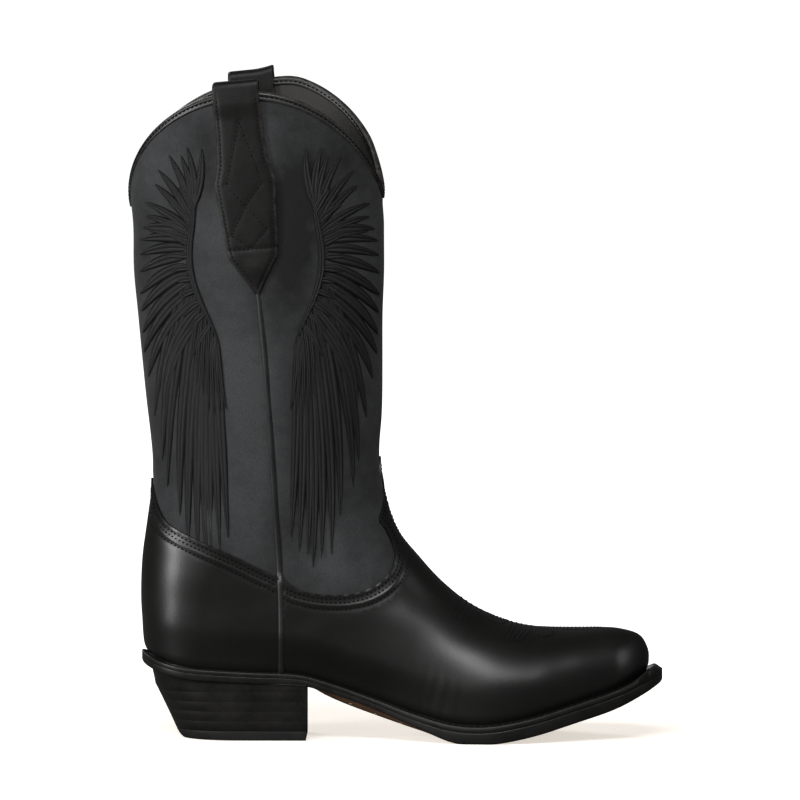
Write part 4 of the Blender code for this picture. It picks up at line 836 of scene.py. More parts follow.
for front, end in ((True, "front"), (False, "back")):
    fine = shaftPanel(front, shaft["pitch"], shaft["edgeRows"])
    shellPiece("shaftLeather_" + end, fine, shaft["inset"], shaft["leather"],
               nubuckGrey, ["shaft_" + end], shaftRelief)
    coarse = shaftPanel(front, shaft["liningPitch"], ())
    shellPiece("shaftLining_" + end, coarse, shaft["inset"] + shaft["leather"] + 0.0003, shaft["lining"],
               liningBlack, ["shaft_lining_" + end])
print("shaft and lining cut")


# binding round the top line
binding = {"height": 0.0052, "outside": -0.0006, "inside": -0.0048, "round": 0.0021}


def rimLoop(count):
    front = np.linspace(seamAngle(), 0, count)
    back = np.linspace(seamAngle(), math.pi, count)
    loop = [(a, outerSide) for a in front] + [(a, innerSide) for a in front[-2::-1]]
    loop += [(a, innerSide) for a in back[1:]] + [(a, outerSide) for a in back[-2:0:-1]]
    return np.array(loop)


def rimFrame(loop, lower):
    # points of the skin along the top line, lowered, and their level outward directions
    angle, side = loop.T
    x, z = rimPoint(angle, lower)
    tip = np.isclose(np.sin(angle), 0, atol=1e-9)
    y, flat = np.zeros_like(x), np.zeros((len(x), 3))
    for s in (outerSide, innerSide):
        mine = (side == s) & ~tip
        p, n = onSkin(x[mine], z[mine], s)
        y[mine] = p[:, 1]
        flat[mine] = n * [1, 1, 0]
    flat[tip, 0] = np.cos(angle[tip])
    flat /= np.linalg.norm(flat, axis=1, keepdims=True)
    return np.stack([x, y, z], 1), flat


def bindingSection():
    out, into, tall, bend = (binding[k] for k in ("outside", "inside", "height", "round"))
    centre = (out + into) / 2
    legs = [(out - 0.0006, tall), (out - 0.0001, tall - 0.0001), (out, tall - 0.0006),
            (out - 0.0001, 0.0036), (out - 0.00035, 0.0029), (out - 0.0001, 0.0023)]
    for turn in np.linspace(0, math.pi, 11):
        legs.append((centre + (out - centre) * math.cos(turn), bend - bend * math.sin(turn) * 0.95))
    legs += [(into + 0.00035, 0.0029), (into, 0.0036), (into, tall - 0.0006), (into + 0.0006, tall),
             (into + 0.0010, tall), (into + 0.0010, 0.0030), (out - 0.0010, 0.0030), (out - 0.0010, tall)]
    return legs


rim = rimLoop(70)
rows = []
for spreadOut, lower in bindingSection():
    p, flat = rimFrame(rim, lower)
    rows.append(p + flat * spreadOut)
verts, faces = sweepRings(np.stack(rows, 1), closedPath=True)
sectionEdge = [0.9 if lower < 0.0012 or lower > 0.0048 else 0.2 for _, lower in bindingSection()]
bindingPiece = newPiece("topBinding", verts, faces, bindingBlack, ["top_binding"],
                        attributes={"edge": np.tile(sectionEdge, len(rim))}, sharp=70)
tidyNormals(bindingPiece)
print("binding folded over the rim")


# strips in the side seams
sideWelt = {"low": 0.0375, "high": 0.2532, "halfLow": 0.00175, "halfHigh": 0.00150, "proud": 0.0010,
            "shaftFrom": 0.091, "shaftSink": 0.0021, "footSink": 0.0013}
for side, word in ((outerSide, "outer"), (innerSide, "inner")):
    z = np.linspace(sideWelt["low"], sideWelt["high"], 120)
    z[0] = float(featherZ(seamX(sideWelt["low"]))) - 0.0004
    p, n = onSkin(seamX(z), z, side)
    half = np.interp(z, [0.04, 0.25], [sideWelt["halfLow"], sideWelt["halfHigh"]])
    base = -sideWelt["shaftSink"] * ease(z, sideWelt["shaftFrom"] - 0.002, sideWelt["shaftFrom"] + 0.003)
    base = base - sideWelt["footSink"] * np.clip(1 - (z - z[0]) / 0.006, 0, 1) ** 2
    section = [(math.cos(turn), sideWelt["proud"] * math.sin(turn) - 0.0004)
               for turn in np.linspace(0, math.pi, 9)] + [(-0.9, -0.0024), (0.9, -0.0024)]
    ring = [p + np.array([1.0, 0, 0]) * (half * share)[:, None] + n * (base + rise)[:, None]
            for share, rise in section]
    verts, faces = sweepRings(np.stack(ring, 1))
    tidyNormals(newPiece("seamStrip_" + word, verts, faces, bindingBlack,
                         ["side_welt_" + word], attributes={"edge": np.full(len(verts), 0.03)}, sharp=60))
print("side seams closed")


# pull straps
strap = {"top": (-0.0848, 0.3690), "tip": (-0.0732, 0.2505), "thick": 0.0018, "loopDown": 0.0042,
         "bend": 0.0028, "insideFace": -0.0056, "insideLength": 0.075, "insideHalf": 0.0132,
         "outline": [(0.0, 0.0128), (0.030, 0.0131), (0.046, 0.0142), (0.0565, 0.0170),
                     (0.062, 0.0167), (0.070, 0.0160), (0.0935, 0.0144), (0.0985, 0.0134),
                     (0.1175, 0.0016), (0.1190, 0.0004)],  # down the strap, half width
         "edgeStitch": 0.0022, "tabLine": 0.0938, "padding": 0.0004, "edgeRound": 0.0007,
         "diamonds": [(0.0224, 0.0004), (0.0575, 0.0094), (0.0700, -0.0010), (0.0854, -0.0108),
                      (0.0933, -0.0008), (0.0836, 0.0094), (0.0700, -0.0010), (0.0575, -0.0102),
                      (0.0224, 0.0004)]}


def strapSpot(down, aside):
    top, tip = np.array(strap["top"]), np.array(strap["tip"])
    along = (tip - top) / np.linalg.norm(tip - top)
    across = np.array([-along[1], along[0]])
    return top + np.multiply.outer(down, along) + np.multiply.outer(aside, across)


def strapHalf(down):
    return np.interp(down, *np.array(strap["outline"]).T)


def strapLift(down):
    # height of the strap's lower face over the skin: on the shaft, then up over the binding
    return -0.0014 + 0.0011 * (1 - ease(down, 0.012, 0.022)) + 0.0002 * ease(down, 0.112, 0.098)


def strapPuff(down, aside):
    # padded between the stitch lines, pressed down on them
    half = strapHalf(down)
    inner = np.clip((half - np.abs(aside)) / 0.0040, 0, 1)
    rise = strap["padding"] * ease(inner, 0.45, 1.0)
    rise = rise + 0.0007 * np.exp(-((down - 0.1050) / 0.0060) ** 2) * np.exp(-(aside / 0.0060) ** 2)
    rise = rise - 0.0004 * np.exp(-((down - strap["tabLine"]) / 0.0010) ** 2)
    rise = rise - 0.0002 * np.exp(-((half - strap["edgeStitch"] - np.abs(aside)) / 0.0006) ** 2)
    points = np.stack([down, aside], -1)
    spots = np.array(strap["diamonds"])
    for a, b in zip(spots[:-1], spots[1:]):
        t = np.clip(((points - a) * (b - a)).sum(-1) / ((b - a) ** 2).sum(), 0, 1)
        away = np.linalg.norm(points - a - t[..., None] * (b - a), axis=-1)
        rise = rise - 0.0003 * np.exp(-(away / 0.0007) ** 2)
    return rise


shares = np.array([-1, -0.985, -0.95, -0.9, -0.84, -0.78, *np.linspace(-0.7, 0.7, 15),
                   0.78, 0.84, 0.9, 0.95, 0.985, 1]).round(3)
corner = ((np.abs(shares) - 0.9) / 0.1).clip(0, 1)
roundOff = strap["edgeRound"] * (1 - np.sqrt(np.clip(1 - corner ** 2, 0, 1)))
worn = np.concatenate([np.clip((np.abs(shares) - 0.86) / 0.14, 0, 1), np.zeros(len(shares))])
for side, word in ((outerSide, "outer"), (innerSide, "inner")):
    lowRows, highRows = [], []
    for down in np.linspace(0.1188, 0.012, 98):
        aside = shares * strapHalf(down)
        spots = strapSpot(np.full(len(shares), down), aside)
        p, n = onSkin(spots[:, 0], spots[:, 1], side)
        rise = strapPuff(np.full(len(shares), down), aside) - roundOff
        lowRows.append(p + n * strapLift(down))
        highRows.append(p + n * (strapLift(down) + strap["thick"] + rise)[:, None])
    down = strap["loopDown"]
    spots = strapSpot(np.full(len(shares), down), shares * strapHalf(down))
    p, n = onSkin(spots[:, 0], spots[:, 1], side)
    level = n * [1, 1, 0] / np.linalg.norm(n[:, :2], axis=1, keepdims=True)
    outFace, inFace = strapLift(down), strap["insideFace"]
    middle, reach = (outFace + inFace) / 2, (outFace - inFace) / 2
    upward = np.array([0, 0, 1.0])
    for turn in np.linspace(0, math.pi, 17):
        # a flattened fold, as tall as the sewn strap lets it be
        c, s = math.cos(turn), math.sin(turn)
        direction = level * c + upward * s
        base = p + level * (middle + reach * math.copysign(abs(c) ** 0.55, c))
        base = base + upward * (strap["bend"] - 0.0004) * s ** 0.8
        lowRows.append(base)
        highRows.append(base + direction * (strap["thick"] - roundOff[:, None]))
    for down in np.linspace(0.012, strap["insideLength"], 30):
        half = np.minimum(strapHalf(down), strap["insideHalf"])
        spots = strapSpot(np.full(len(shares), down), shares * half)
        p, n = onSkin(spots[:, 0], spots[:, 1], side)
        away = inFace + 0.0009 * ease(down, 0.012, 0.022)
        lowRows.append(p + n * away)
        highRows.append(p + n * (away - strap["thick"] + roundOff)[:, None])
    low, high = np.stack(lowRows), np.stack(highRows)
    verts, faces = sweepRings(np.concatenate([high, low[:, ::-1]], axis=1))
    tidyNormals(newPiece("pullStrap_" + word, verts, faces, strapBlack,
                         ["pull_strap_" + word], attributes={"edge": np.tile(worn, len(low))}, sharp=60))
print("pull straps looped")


# the bottom: welt, rand, outsole and heel
sole = {
    # x, welt and outsole at the edge, how far the middle is crowned, margin beyond the feather line
    "build": [
        (-0.145, 0.0062, 0.0, 0.0018), (-0.060, 0.0060, 0.0, 0.0018), (-0.049, 0.0056, 0.0, 0.0018),
        (-0.040, 0.0054, 0.0036, 0.0019), (-0.030, 0.0054, 0.0052, 0.0020), (-0.0106, 0.0056, 0.0054, 0.0024),
        (0.0132, 0.0072, 0.0034, 0.0034), (0.0341, 0.0101, 0.0004, 0.0044), (0.0520, 0.0103, 0.0, 0.0046),
        (0.0997, 0.0103, 0.0, 0.0046), (0.1235, 0.0102, 0.0, 0.0050), (0.1500, 0.0090, 0.0, 0.0060)],
    "tipLift": 0.0022, "tip": 0.1488, "toeRound": 0.024, "back": -0.1408, "heelRound": 0.033,
    "weltThick": 0.0036, "seatThick": 0.0024, "breast": -0.0490, "count": 150, "across": 14}
soleMargin, soleThick, soleCrown = (column(sole["build"], i) for i in (3, 1, 2))


def weltThick(x):
    return sole["seatThick"] + (sole["weltThick"] - sole["seatThick"]) * ease(x, -0.020, 0.030)


def soleOutline(share, inset):
    # half of the sole's outline drawn in by inset, as x and both half widths; share runs from heel to toe
    low, high = sole["back"] + inset, sole["tip"] - inset
    turn = share * math.pi
    x = (low + high) / 2 - (high - low) / 2 * (0.25 * (1 - 2 * share) + 0.75 * np.cos(turn))
    rounds = arch((high - x) / sole["toeRound"]) * arch((x - low) / sole["heelRound"], 2.1)
    halves = [np.maximum(f(x) + soleMargin(x) - inset, 0) * rounds for f in (featherOuter, featherInner)]
    return x, halves


def soleLoop(count, insetOf):
    # closed loop of points in plan round the sole, drawn in by insetOf(x)
    share = np.linspace(0, 1, count)
    x0 = soleOutline(share, 0.0)[0]
    inset = insetOf(x0)
    sides = []
    for k, sign in ((0, -1), (1, 1)):
        xs, ys = np.empty(count), np.empty(count)
        for i, (s, d) in enumerate(zip(share, inset)):
            x, halves = soleOutline(np.array([s]), float(d))
            xs[i], ys[i] = x[0], sign * halves[k][0]
        sides.append(np.stack([xs, ys], 1))
    return np.concatenate([sides[0], sides[1][-2:0:-1]])


def underZ(x, share):
    return np.maximum(featherZ(x) - soleThick(x) - np.maximum(soleCrown(x), 0) * (1 - share**2), 0)


# share of the margin drawn in, height over the feather line in mm, share of the thickness down, wear
weltLevels = [
    (1.9, -0.5, 0, 0), (1.25, -1.0, 0, 0), (1.0, -1.0, 0, 0), (0.82, -0.35, 0, 0), (0.68, 0.0, 0, 0.15),
    (0.50, 0.08, 0, 0.1), (0.32, 0.02, 0, 0.15), (0.16, -0.05, 0, 0.6), (0.06, -0.3, 0, 0.9),
    (0.0, -0.7, 0, 0.55), (0.0, 0.06, 0.99, 0.1), (0.03, -0.02, 1.0, 0.3), (1.9, 0.0, 1.0, 0)]
weltEdge = 9  # the level that lies on the outline


def tipBow(x):
    # the welt swells a little before the toe's end and rounds off on the end itself
    return ease(x, 0.130, 0.1415) - 1.7 * ease(x, 0.1435, 0.1488)


def ringPiece(name, keep, replaces):
    loops = []
    for share, rise, down, _ in weltLevels:
        loop = soleLoop(sole["count"], lambda x: share * soleMargin(x))
        z = featherZ(loop[:, 0]) + rise * 0.001 * np.where(soleMargin(loop[:, 0]) < 0.003, 0.75, 1.0)
        z = z - down * weltThick(loop[:, 0]) + (1 - down) * sole["tipLift"] * tipBow(loop[:, 0])
        loops.append(np.column_stack([loop, z]))
    ring = np.stack(loops, 1)
    run = np.flatnonzero(keep(ring[:, weltEdge, 0]))
    gaps = np.flatnonzero(np.diff(run) > 1)
    if len(gaps):
        run = np.concatenate([run[gaps[0] + 1:], run[:gaps[0] + 1]])
    verts, faces = sweepRings(ring[run])
    edge = np.tile([wear for *_, wear in weltLevels], len(run))
    tidyNormals(newPiece(name, verts, faces, edgeBlack, replaces,
                         attributes={"edge": edge}, sharp=60))


ringPiece("weltStrip", lambda x: x >= sole["breast"] - 0.0006, ["welt"])
ringPiece("heelRand", lambda x: x < sole["breast"] + 0.0006, ["heel_rand"])

# outsole: painted edge all round, bare leather below; levels are inset and share of the thickness down
edgeLevels = [(0.00018, 0.0), (0.00003, 0.03), (0.0, 0.10), (0.0, 0.78), (0.0002, 0.90), (0.0006, 0.98),
              (0.0011, 1.0)]
count = sole["count"]
loops = []
for inset, share in edgeLevels:
    loop = soleLoop(count, lambda x: np.full_like(x, inset))
    top = featherZ(loop[:, 0]) - weltThick(loop[:, 0]) - 0.00005
    low = np.maximum(featherZ(loop[:, 0]) - soleThick(loop[:, 0]), 0)
    loops.append(np.column_stack([loop, top + (low - top) * share]))
verts, faces = sweepRings(np.stack(loops), caps=False)
verts = list(map(tuple, verts))
edgeCount, size = len(faces), len(loops[0])


def crossFill(ring, offset, bottom):
    # fills a loop with rows from side to side; the lower one carries the crown
    made, grid, across = [], {}, sole["across"]
    for i in range(count):
        ends = i in (0, count - 1)
        opposite = i if ends else (size - i) % size
        for j in range(across + 1):
            if j == 0 or ends:
                grid[i, j] = offset + i
            elif j == across:
                grid[i, j] = offset + opposite
            else:
                share = j / across
                q = ring[i] + (ring[opposite] - ring[i]) * share
                if bottom:
                    q = np.array([q[0], q[1], underZ(q[0], 2 * share - 1)])
                verts.append(tuple(q))
                grid[i, j] = len(verts) - 1
    for i in range(count - 1):
        for j in range(across):
            face = [grid[i, j], grid[i + 1, j], grid[i + 1, j + 1], grid[i, j + 1]]
            face = [v for k, v in enumerate(face) if v not in face[:k]]
            if len(face) > 2:
                made.append(tuple(face))
    return made


topFaces = crossFill(loops[0], 0, False)
lowFaces = crossFill(loops[-1], (len(loops) - 1) * size, True)
edge = np.where(np.arange(len(verts)) < len(loops) * size, 0.25, 0.0)
outsole = newPiece("soleLeather", verts, faces + topFaces + lowFaces,
                   [edgeBlack, soleBrown], ["outsole"], attributes={"edge": edge})
for k in range(edgeCount + len(topFaces), len(outsole.data.polygons)):
    outsole.data.polygons[k].material_index = 1
tidyNormals(outsole)
outsole.data.set_sharp_from_angle(angle=math.radians(50))
print("welt and outsole laid")


# stacked heel
heel = {"backTop": -0.1406, "backFoot": -0.1195, "halfTop": 0.0312, "halfFoot": 0.0268, "seatZ": 0.0440,
        "round": 0.031, "capThick": 0.0055, "capInset": 0.0020, "lifts": 4, "liftThick": 0.0055,
        "groove": 0.00022, "wedgeTop": 0.0345}


def heelLoop(z, inset=0.0, count=44):
    # outline of the heel at a height, from the breast round the back
    back = heel["backFoot"] + (heel["backTop"] - heel["backFoot"]) * (z / heel["seatZ"]) ** 1.1 + inset
    half = heel["halfFoot"] + (heel["halfTop"] - heel["halfFoot"]) * z / heel["seatZ"] - inset * 0.3
    breast = sole["breast"] - 0.0001
    x = breast + (back - breast) * np.sin(np.linspace(0, 1, count) * math.pi / 2)
    y = half * arch((x - back) / heel["round"], 2.1)
    y[-1] = 0
    y[0] -= 0.0004  # the breast's corners are scraped a little round
    near = np.stack([x, -y], 1)
    return np.concatenate([near, np.stack([x, y], 1)[-2::-1]])


def heelPiece(name, levels, finish, replaces):
    # levels are height, inset and how far that level follows the sole above it
    rows = []
    for z, inset, share in levels:
        loop = heelLoop(z, inset)
        top = np.maximum(featherZ(loop[:, 0]) - soleThick(loop[:, 0]), 0) - 0.00005
        rows.append(np.column_stack([loop, z + (top - z) * share]))
    rings = np.stack(rows)
    verts, faces = sweepRings(rings)
    edge = np.repeat([0.20 if inset > 0.00005 else 0.12 for _, inset, _ in levels], rings.shape[1])
    piece = newPiece(name, verts, faces, finish, replaces, attributes={"edge": edge}, sharp=45)
    tidyNormals(piece)
    piece.data.set_sharp_from_angle(angle=math.radians(45))


levels = [(heel["capThick"] + 0.0001, 0.0004, 0), (heel["capThick"] + 0.0003, 0.0, 0)]
for k in range(1, heel["lifts"] + 1):
    z = heel["capThick"] + k * heel["liftThick"]
    levels += [(z - heel["groove"], 0.0, 0), (z, 0.00012, 0), (z + heel["groove"], 0.0, 0)]
z += 0.0003 + 0.0022
levels.append((z, 0.0, 0))
for share in (0.35, 0.7, 0.92, 1.0):
    levels.append((z + (heel["wedgeTop"] - z) * share, 0.0003 if share == 1.0 else 0.0, share))
heelPiece("heelStack", levels, edgeBlack,
          ["heel_lift_1", "heel_lift_2", "heel_lift_3", "heel_lift_4", "heel_seat_wedge"])
cap, high = heel["capInset"], heel["capThick"]
heelPiece("heelCap", [(0.0002, cap + 0.0006, 0), (0.0003, cap * 0.8, 0), (0.0012, cap * 0.45, 0),
                      (0.0026, cap * 0.16, 0), (0.0042, 0.00005, 0), (high - 0.0004, 0.0, 0),
                      (high - 0.0001, 0.0003, 0)], rubberBlack, ["heel_cap"])


def pickFaces(piece, test):
    # selects faces in edit mode by a test on their centre and normal
    bm = bmesh.from_edit_mesh(piece.data)
    for face in bm.faces:
        face.select_set(bool(test(face.calc_center_median(), face.normal)))
    bmesh.update_edit_mesh(piece.data)


def settle(piece, name, finish):
    # place goes into the mesh, and the piece rides on the boot
    bpy.ops.object.transform_apply(location=True, rotation=True, scale=True)
    piece.name = name
    piece.data.materials.clear()
    piece.data.materials.append(finish)
    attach(piece, "root")
    piece.select_set(False)


# brads in the cap
brads = {"places": [(-0.058, -0.012), (-0.058, 0.012), (-0.101, 0.0), (-0.086, -0.019), (-0.086, 0.019)],
         "radius": 0.0011, "depth": 0.0020}
steelBrad = hideFinish("steelBrad", "capRubber", wear=0.0)
tree(steelBrad)[1].inputs["Metallic"].default_value = 0.8
for k, (x, y) in enumerate(brads["places"]):
    bpy.ops.mesh.primitive_cylinder_add(vertices=20, radius=brads["radius"], depth=brads["depth"],
                                        location=(x, y, brads["depth"] / 2))
    brad = bpy.context.object
    bpy.ops.object.mode_set(mode="EDIT")
    pickFaces(brad, lambda centre, normal: normal.z < -0.9)
    bpy.ops.mesh.inset(thickness=0.00025)
    bpy.ops.transform.translate(value=(0, 0, 0.00012))
    bpy.ops.object.mode_set(mode="OBJECT")
    settle(brad, f"capBrad_{k + 1}", steelBrad)
    if k < 3:
        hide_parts(f"heel_cap_brad_{k + 1}")
print("heel stacked")


# stitches
# sizes of one stitch, and the distance from one to the next
stitch = {"width": 0.00088, "high": 0.00045, "length": 0.0016, "pitch": 0.0025, "sink": 0.12, "tilt": 0.10}
rimStitch = {"pitch": 0.0027, "length": 0.0020}
strapStitch = {"pitch": 0.0023, "length": 0.0017}
weltStitch = {"pitch": 0.0040, "length": 0.0034, "width": 0.0010, "high": 0.0007}
toeStitch = {"pitch": 0.0021, "length": 0.0019, "width": 0.00095, "high": 0.00070}
bpy.ops.mesh.primitive_uv_sphere_add(segments=6, ring_count=5, radius=0.5)
pattern = bpy.context.object  # one stitch: a short plump bead, pulled down at both ends
bpy.ops.object.mode_set(mode="EDIT")
bpy.ops.mesh.select_all(action="SELECT")
bpy.ops.transform.rotate(value=math.pi / 2, orient_axis="Y", center_override=(0, 0, 0))
bpy.ops.object.mode_set(mode="OBJECT")
beadVerts = np.array([v.co for v in pattern.data.vertices])
beadFaces = [tuple(p.vertices) for p in pattern.data.polygons]
bpy.data.objects.remove(pattern)
beadVerts[:, 2] -= 0.9 * beadVerts[:, 0] ** 2


def stitchRow(path, normals, **sizes):
    # beads along a row of points in space
    pitch, length, width, high = ({**stitch, **sizes}[k] for k in ("pitch", "length", "width", "high"))
    run = np.concatenate([[0], np.cumsum(np.linalg.norm(np.diff(path, axis=0), axis=1))])
    count = max(int(run[-1] / pitch), 1)
    at = (np.arange(count) + 0.5) * run[-1] / count

    def read(values, where):
        return np.stack([np.interp(where, run, values[:, i]) for i in range(3)], 1)

    centre, up = read(path, at), read(normals, at)
    along = read(path, at + pitch / 3) - read(path, at - pitch / 3)
    along /= np.maximum(np.linalg.norm(along, axis=1, keepdims=True), 1e-9)
    up -= along * (up * along).sum(1, keepdims=True)
    up /= np.maximum(np.linalg.norm(up, axis=1, keepdims=True), 1e-9)
    # each bead lies a little askew, as a lockstitch does
    lead = along * math.cos(stitch["tilt"]) + np.cross(up, along) * math.sin(stitch["tilt"])
    cross = np.cross(up, lead)
    b = beadVerts[None]
    placed = (centre[:, None] + lead[:, None] * (b[..., :1] * length) + cross[:, None] * (b[..., 1:2] * width)
              + up[:, None] * ((b[..., 2:3] + stitch["sink"]) * high))
    return placed.reshape(-1, 3)


def stitchPiece(name, rows, finish=sewingThread, replaces=()):
    verts = np.vstack(rows)
    count = len(verts) // len(beadVerts)
    faces = [tuple(i + k * len(beadVerts) for i in f) for k in range(count) for f in beadFaces]
    across = np.clip(beadVerts[:, 1] + 0.5, 0, 1)
    uv = np.tile(np.stack([beadVerts[:, 0] + 0.5, across], 1), (count, 1))
    return newPiece(name, verts, faces, finish, replaces, uv=uv)


def skinRow(flat, side, height):
    flat = resample(np.array(flat, float), 0.0006)
    return onSkin(flat[:, 0], flat[:, 1], side, height)


seamRows, rimRows, strapRows = [], [], []
for side in (outerSide, innerSide):
    for k, row in enumerate(foot["stitchRows"]):
        line = footTop(True, -row)
        line = line[(line[:, 0] > seamX(0.09) + 0.0024)]
        if k == 2:
            line = line[line[:, 1] < 0.1275]
        seamRows.append(stitchRow(*skinRow(line, side, -0.0001)))
        line = footTop(False, -row)
        line = line[(line[:, 0] < seamX(0.09) - 0.0024)]
        seamRows.append(stitchRow(*skinRow(line[line[:, 0] > backX(line[:, 1]) + 0.0002], side, -0.0001)))
stitchPiece("seamStitches", seamRows)
loop = rimLoop(160)
for spreadOut, turn in ((binding["outside"] - 0.0001, 1), (binding["inside"] + 0.0001, -1)):
    p, flat = rimFrame(loop, 0.0029)
    path = p + flat * spreadOut
    path, flat = np.vstack([path, path[:1]]), np.vstack([flat, flat[:1]])
    rimRows.append(stitchRow(path, flat * turn, **rimStitch))
stitchPiece("rimStitches", rimRows)


def strapRow(spots, side):
    spots = resample(np.array(spots, float), 0.0006)
    flat = strapSpot(spots[:, 0], spots[:, 1])
    lift = strapLift(spots[:, 0]) + strap["thick"] + strapPuff(spots[:, 0], spots[:, 1])
    return onSkin(flat[:, 0], flat[:, 1], side, lift)


for side in (outerSide, innerSide):
    for hand in (-1, 1):
        down = np.linspace(0.010, 0.1125, 90)
        aside = hand * np.maximum(strapHalf(down) - strap["edgeStitch"], 0.0)
        strapRows.append(stitchRow(*strapRow(np.stack([down, aside], 1), side), **strapStitch))
    spots = strap["diamonds"]
    for a, b in zip(spots[:-1], spots[1:]):
        strapRows.append(stitchRow(*strapRow([a, b], side), **strapStitch))
    half, line = float(strapHalf(strap["tabLine"])) - 0.0008, strap["tabLine"]
    ends = [(line - 0.0003, -half), (line + 0.0003, half)]
    strapRows.append(stitchRow(*strapRow(ends, side), **strapStitch))
stitchPiece("strapStitches", strapRows)

# outseam on the welt
loop = soleLoop(150, lambda x: 0.40 * soleMargin(x))
loop = loop[loop[:, 0] > 0.0]
start = int(np.argmax(np.abs(np.diff(loop[:, 1])))) + 1
if np.abs(np.diff(loop[:, 1])).max() > 0.02:
    loop = np.concatenate([loop[start:], loop[:start]])
path = resample(np.column_stack([loop, featherZ(loop[:, 0]) + 0.00018]), 0.0008)
stitchPiece("weltStitches", [stitchRow(path, np.tile([0, 0, 1.0], (len(path), 1)), **weltStitch)],
            replaces=["welt_thread"])
print("seams stitched")


# fancy stitching over the toe
toeWork = {"archesBack": (0.0372, 0.0400, 0.0428, 0.0456, 0.0484),
           "archesFront": (0.0650, 0.0678, 0.0706, 0.0734, 0.0762),
           "reach": 0.0270, "knot": 0.0570, "loop": (0.0860, 0.1150)}


def overRidge(x, across):
    # side-view height of points that lie a distance over the skin from the ridge, to either side
    x, across = np.asarray(x, float), np.asarray(across, float)
    down = np.linspace(0, 1, 220) ** 2 * 0.045
    z = np.empty_like(x)
    for k, (a, s) in enumerate(zip(x, np.abs(across))):
        heights = ridgeZ(a) - down
        y = halfWidth(np.full_like(heights, a), heights, outerSide)
        run = np.concatenate([[0], np.cumsum(np.hypot(np.diff(y), np.diff(heights)))])
        z[k] = np.interp(s, run, heights)
    return z


def toeRow(spots):
    spots = resample(np.array(spots, float), 0.0009)
    z = overRidge(spots[:, 0], spots[:, 1])
    p, n = np.empty((len(z), 3)), np.empty((len(z), 3))
    for side in (outerSide, innerSide):
        mine = (spots[:, 1] < 0) == (side < 0)
        if mine.any():
            p[mine], n[mine] = onSkin(spots[mine, 0], z[mine], side, -0.00002)
    return stitchRow(p, n, **toeStitch)


rows = []
reach = toeWork["reach"]
for bows, lean in ((toeWork["archesBack"], 0.0060), (toeWork["archesFront"], 0.0050)):
    for k, x in enumerate(bows):
        across = np.linspace(-1, 1, 41)
        wide = reach * (1 - 0.05 * k)
        rows.append(toeRow(np.stack([x - lean * across**2, across * wide], 1)))
    turn = np.linspace(0, math.pi, 9)
    for hand in (-1, 1):  # small scallops join the ends
        for k in range(len(bows) - 1):
            middle = (bows[k] + bows[k + 1]) / 2 - lean
            half = (bows[k + 1] - bows[k]) / 2
            bulge = reach * (1 - 0.05 * (k + 0.5)) + 0.0026 * np.sin(turn)
            rows.append(toeRow(np.stack([middle - half * np.cos(turn), hand * bulge], 1)))
turn, run = np.linspace(0, 2 * math.pi, 40), np.linspace(0, 1, 40)
low, high = toeWork["loop"]
for hand in (-1, 1):
    for x, across in (
            (toeWork["knot"] + 0.0042 * np.sin(turn), hand * (0.0090 + 0.0046 * np.cos(turn))),
            (0.0830 + 0.0050 * np.sin(turn), hand * (0.0120 + 0.0052 * np.cos(turn))),
            (low + (high - low) * run, hand * 0.0075 * np.sin(np.pi * run) ** 0.8 + hand * 1e-5),
            (0.0505 + 0.0130 * run, hand * (0.0002 + 0.0140 * np.sin(np.pi * run)))):
        rows.append(toeRow(np.stack([x, across], 1)))
stitchPiece("toeStitches", rows, finish=toeThread)
print("toe stitched")


# feathered wings in satin stitch
wing = {"high": 0.00075, "stations": 22}


def featherStrip(curve, width, side, base, high, seed):
    # a leaf-shaped satin strip along a side-view curve, with a groove down its middle
    count = wing["stations"]
    curve = resample(curve, count=count)
    t = np.linspace(0, 1, count)
    along = np.gradient(curve, axis=0)
    along /= np.linalg.norm(along, axis=1, keepdims=True)
    across = along[:, ::-1] * [-1, 1]
    half = width / 2 * np.sin(np.pi * t ** 0.70) ** 0.60
    half[0], half[-1] = width * 0.10, width * 0.02
    shares = np.array([-1, -0.86, -0.50, -0.10, 0, 0.10, 0.50, 0.86, 1])
    heights = np.array([-0.60, 0.30, 0.95, 0.72, 0.30, 0.72, 0.95, 0.30, -0.60])
    swell = high * (0.40 + 0.60 * np.sin(np.pi * t ** 0.8) ** 0.6)
    flat = curve[:, None] + across[:, None] * (half[:, None] * shares[None])[..., None]
    flat[..., 0] = np.clip(flat[..., 0], backX(flat[..., 1]) + 0.0007, frontX(flat[..., 1]) - 0.0007)
    p, n = onSkin(flat[..., 0].ravel(), flat[..., 1].ravel(), side)
    lift = (base + swell[:, None] * heights[None]).ravel() + frontPush(flat[..., 0], flat[..., 1]).ravel()
    p = p + n * lift[:, None]
    length = np.linalg.norm(np.diff(curve, axis=0), axis=1).sum()
    laid = np.broadcast_arrays(t[:, None] * length / 0.0040 + seed, (shares[None] + 1) / 2)
    uv = np.stack(laid, -1).reshape(-1, 2)
    rows = len(shares)
    faces = [(i * rows + k, i * rows + k + 1, (i + 1) * rows + k + 1, (i + 1) * rows + k)
             for i in range(count - 1) for k in range(rows - 1)]
    if side > 0:
        faces = [f[::-1] for f in faces]
    return p, faces, uv


def bowed(start, end, sag):
    # a quadratic arc from start to end, bowed to its left by a share of its length
    start, end = np.array(start), np.array(end)
    step = end - start
    control = (start + end) / 2 + sag * np.array([-step[1], step[0]])
    t = np.linspace(0, 1, 24)[:, None]
    return (1 - t) ** 2 * start + 2 * t * (1 - t) * control + t**2 * end


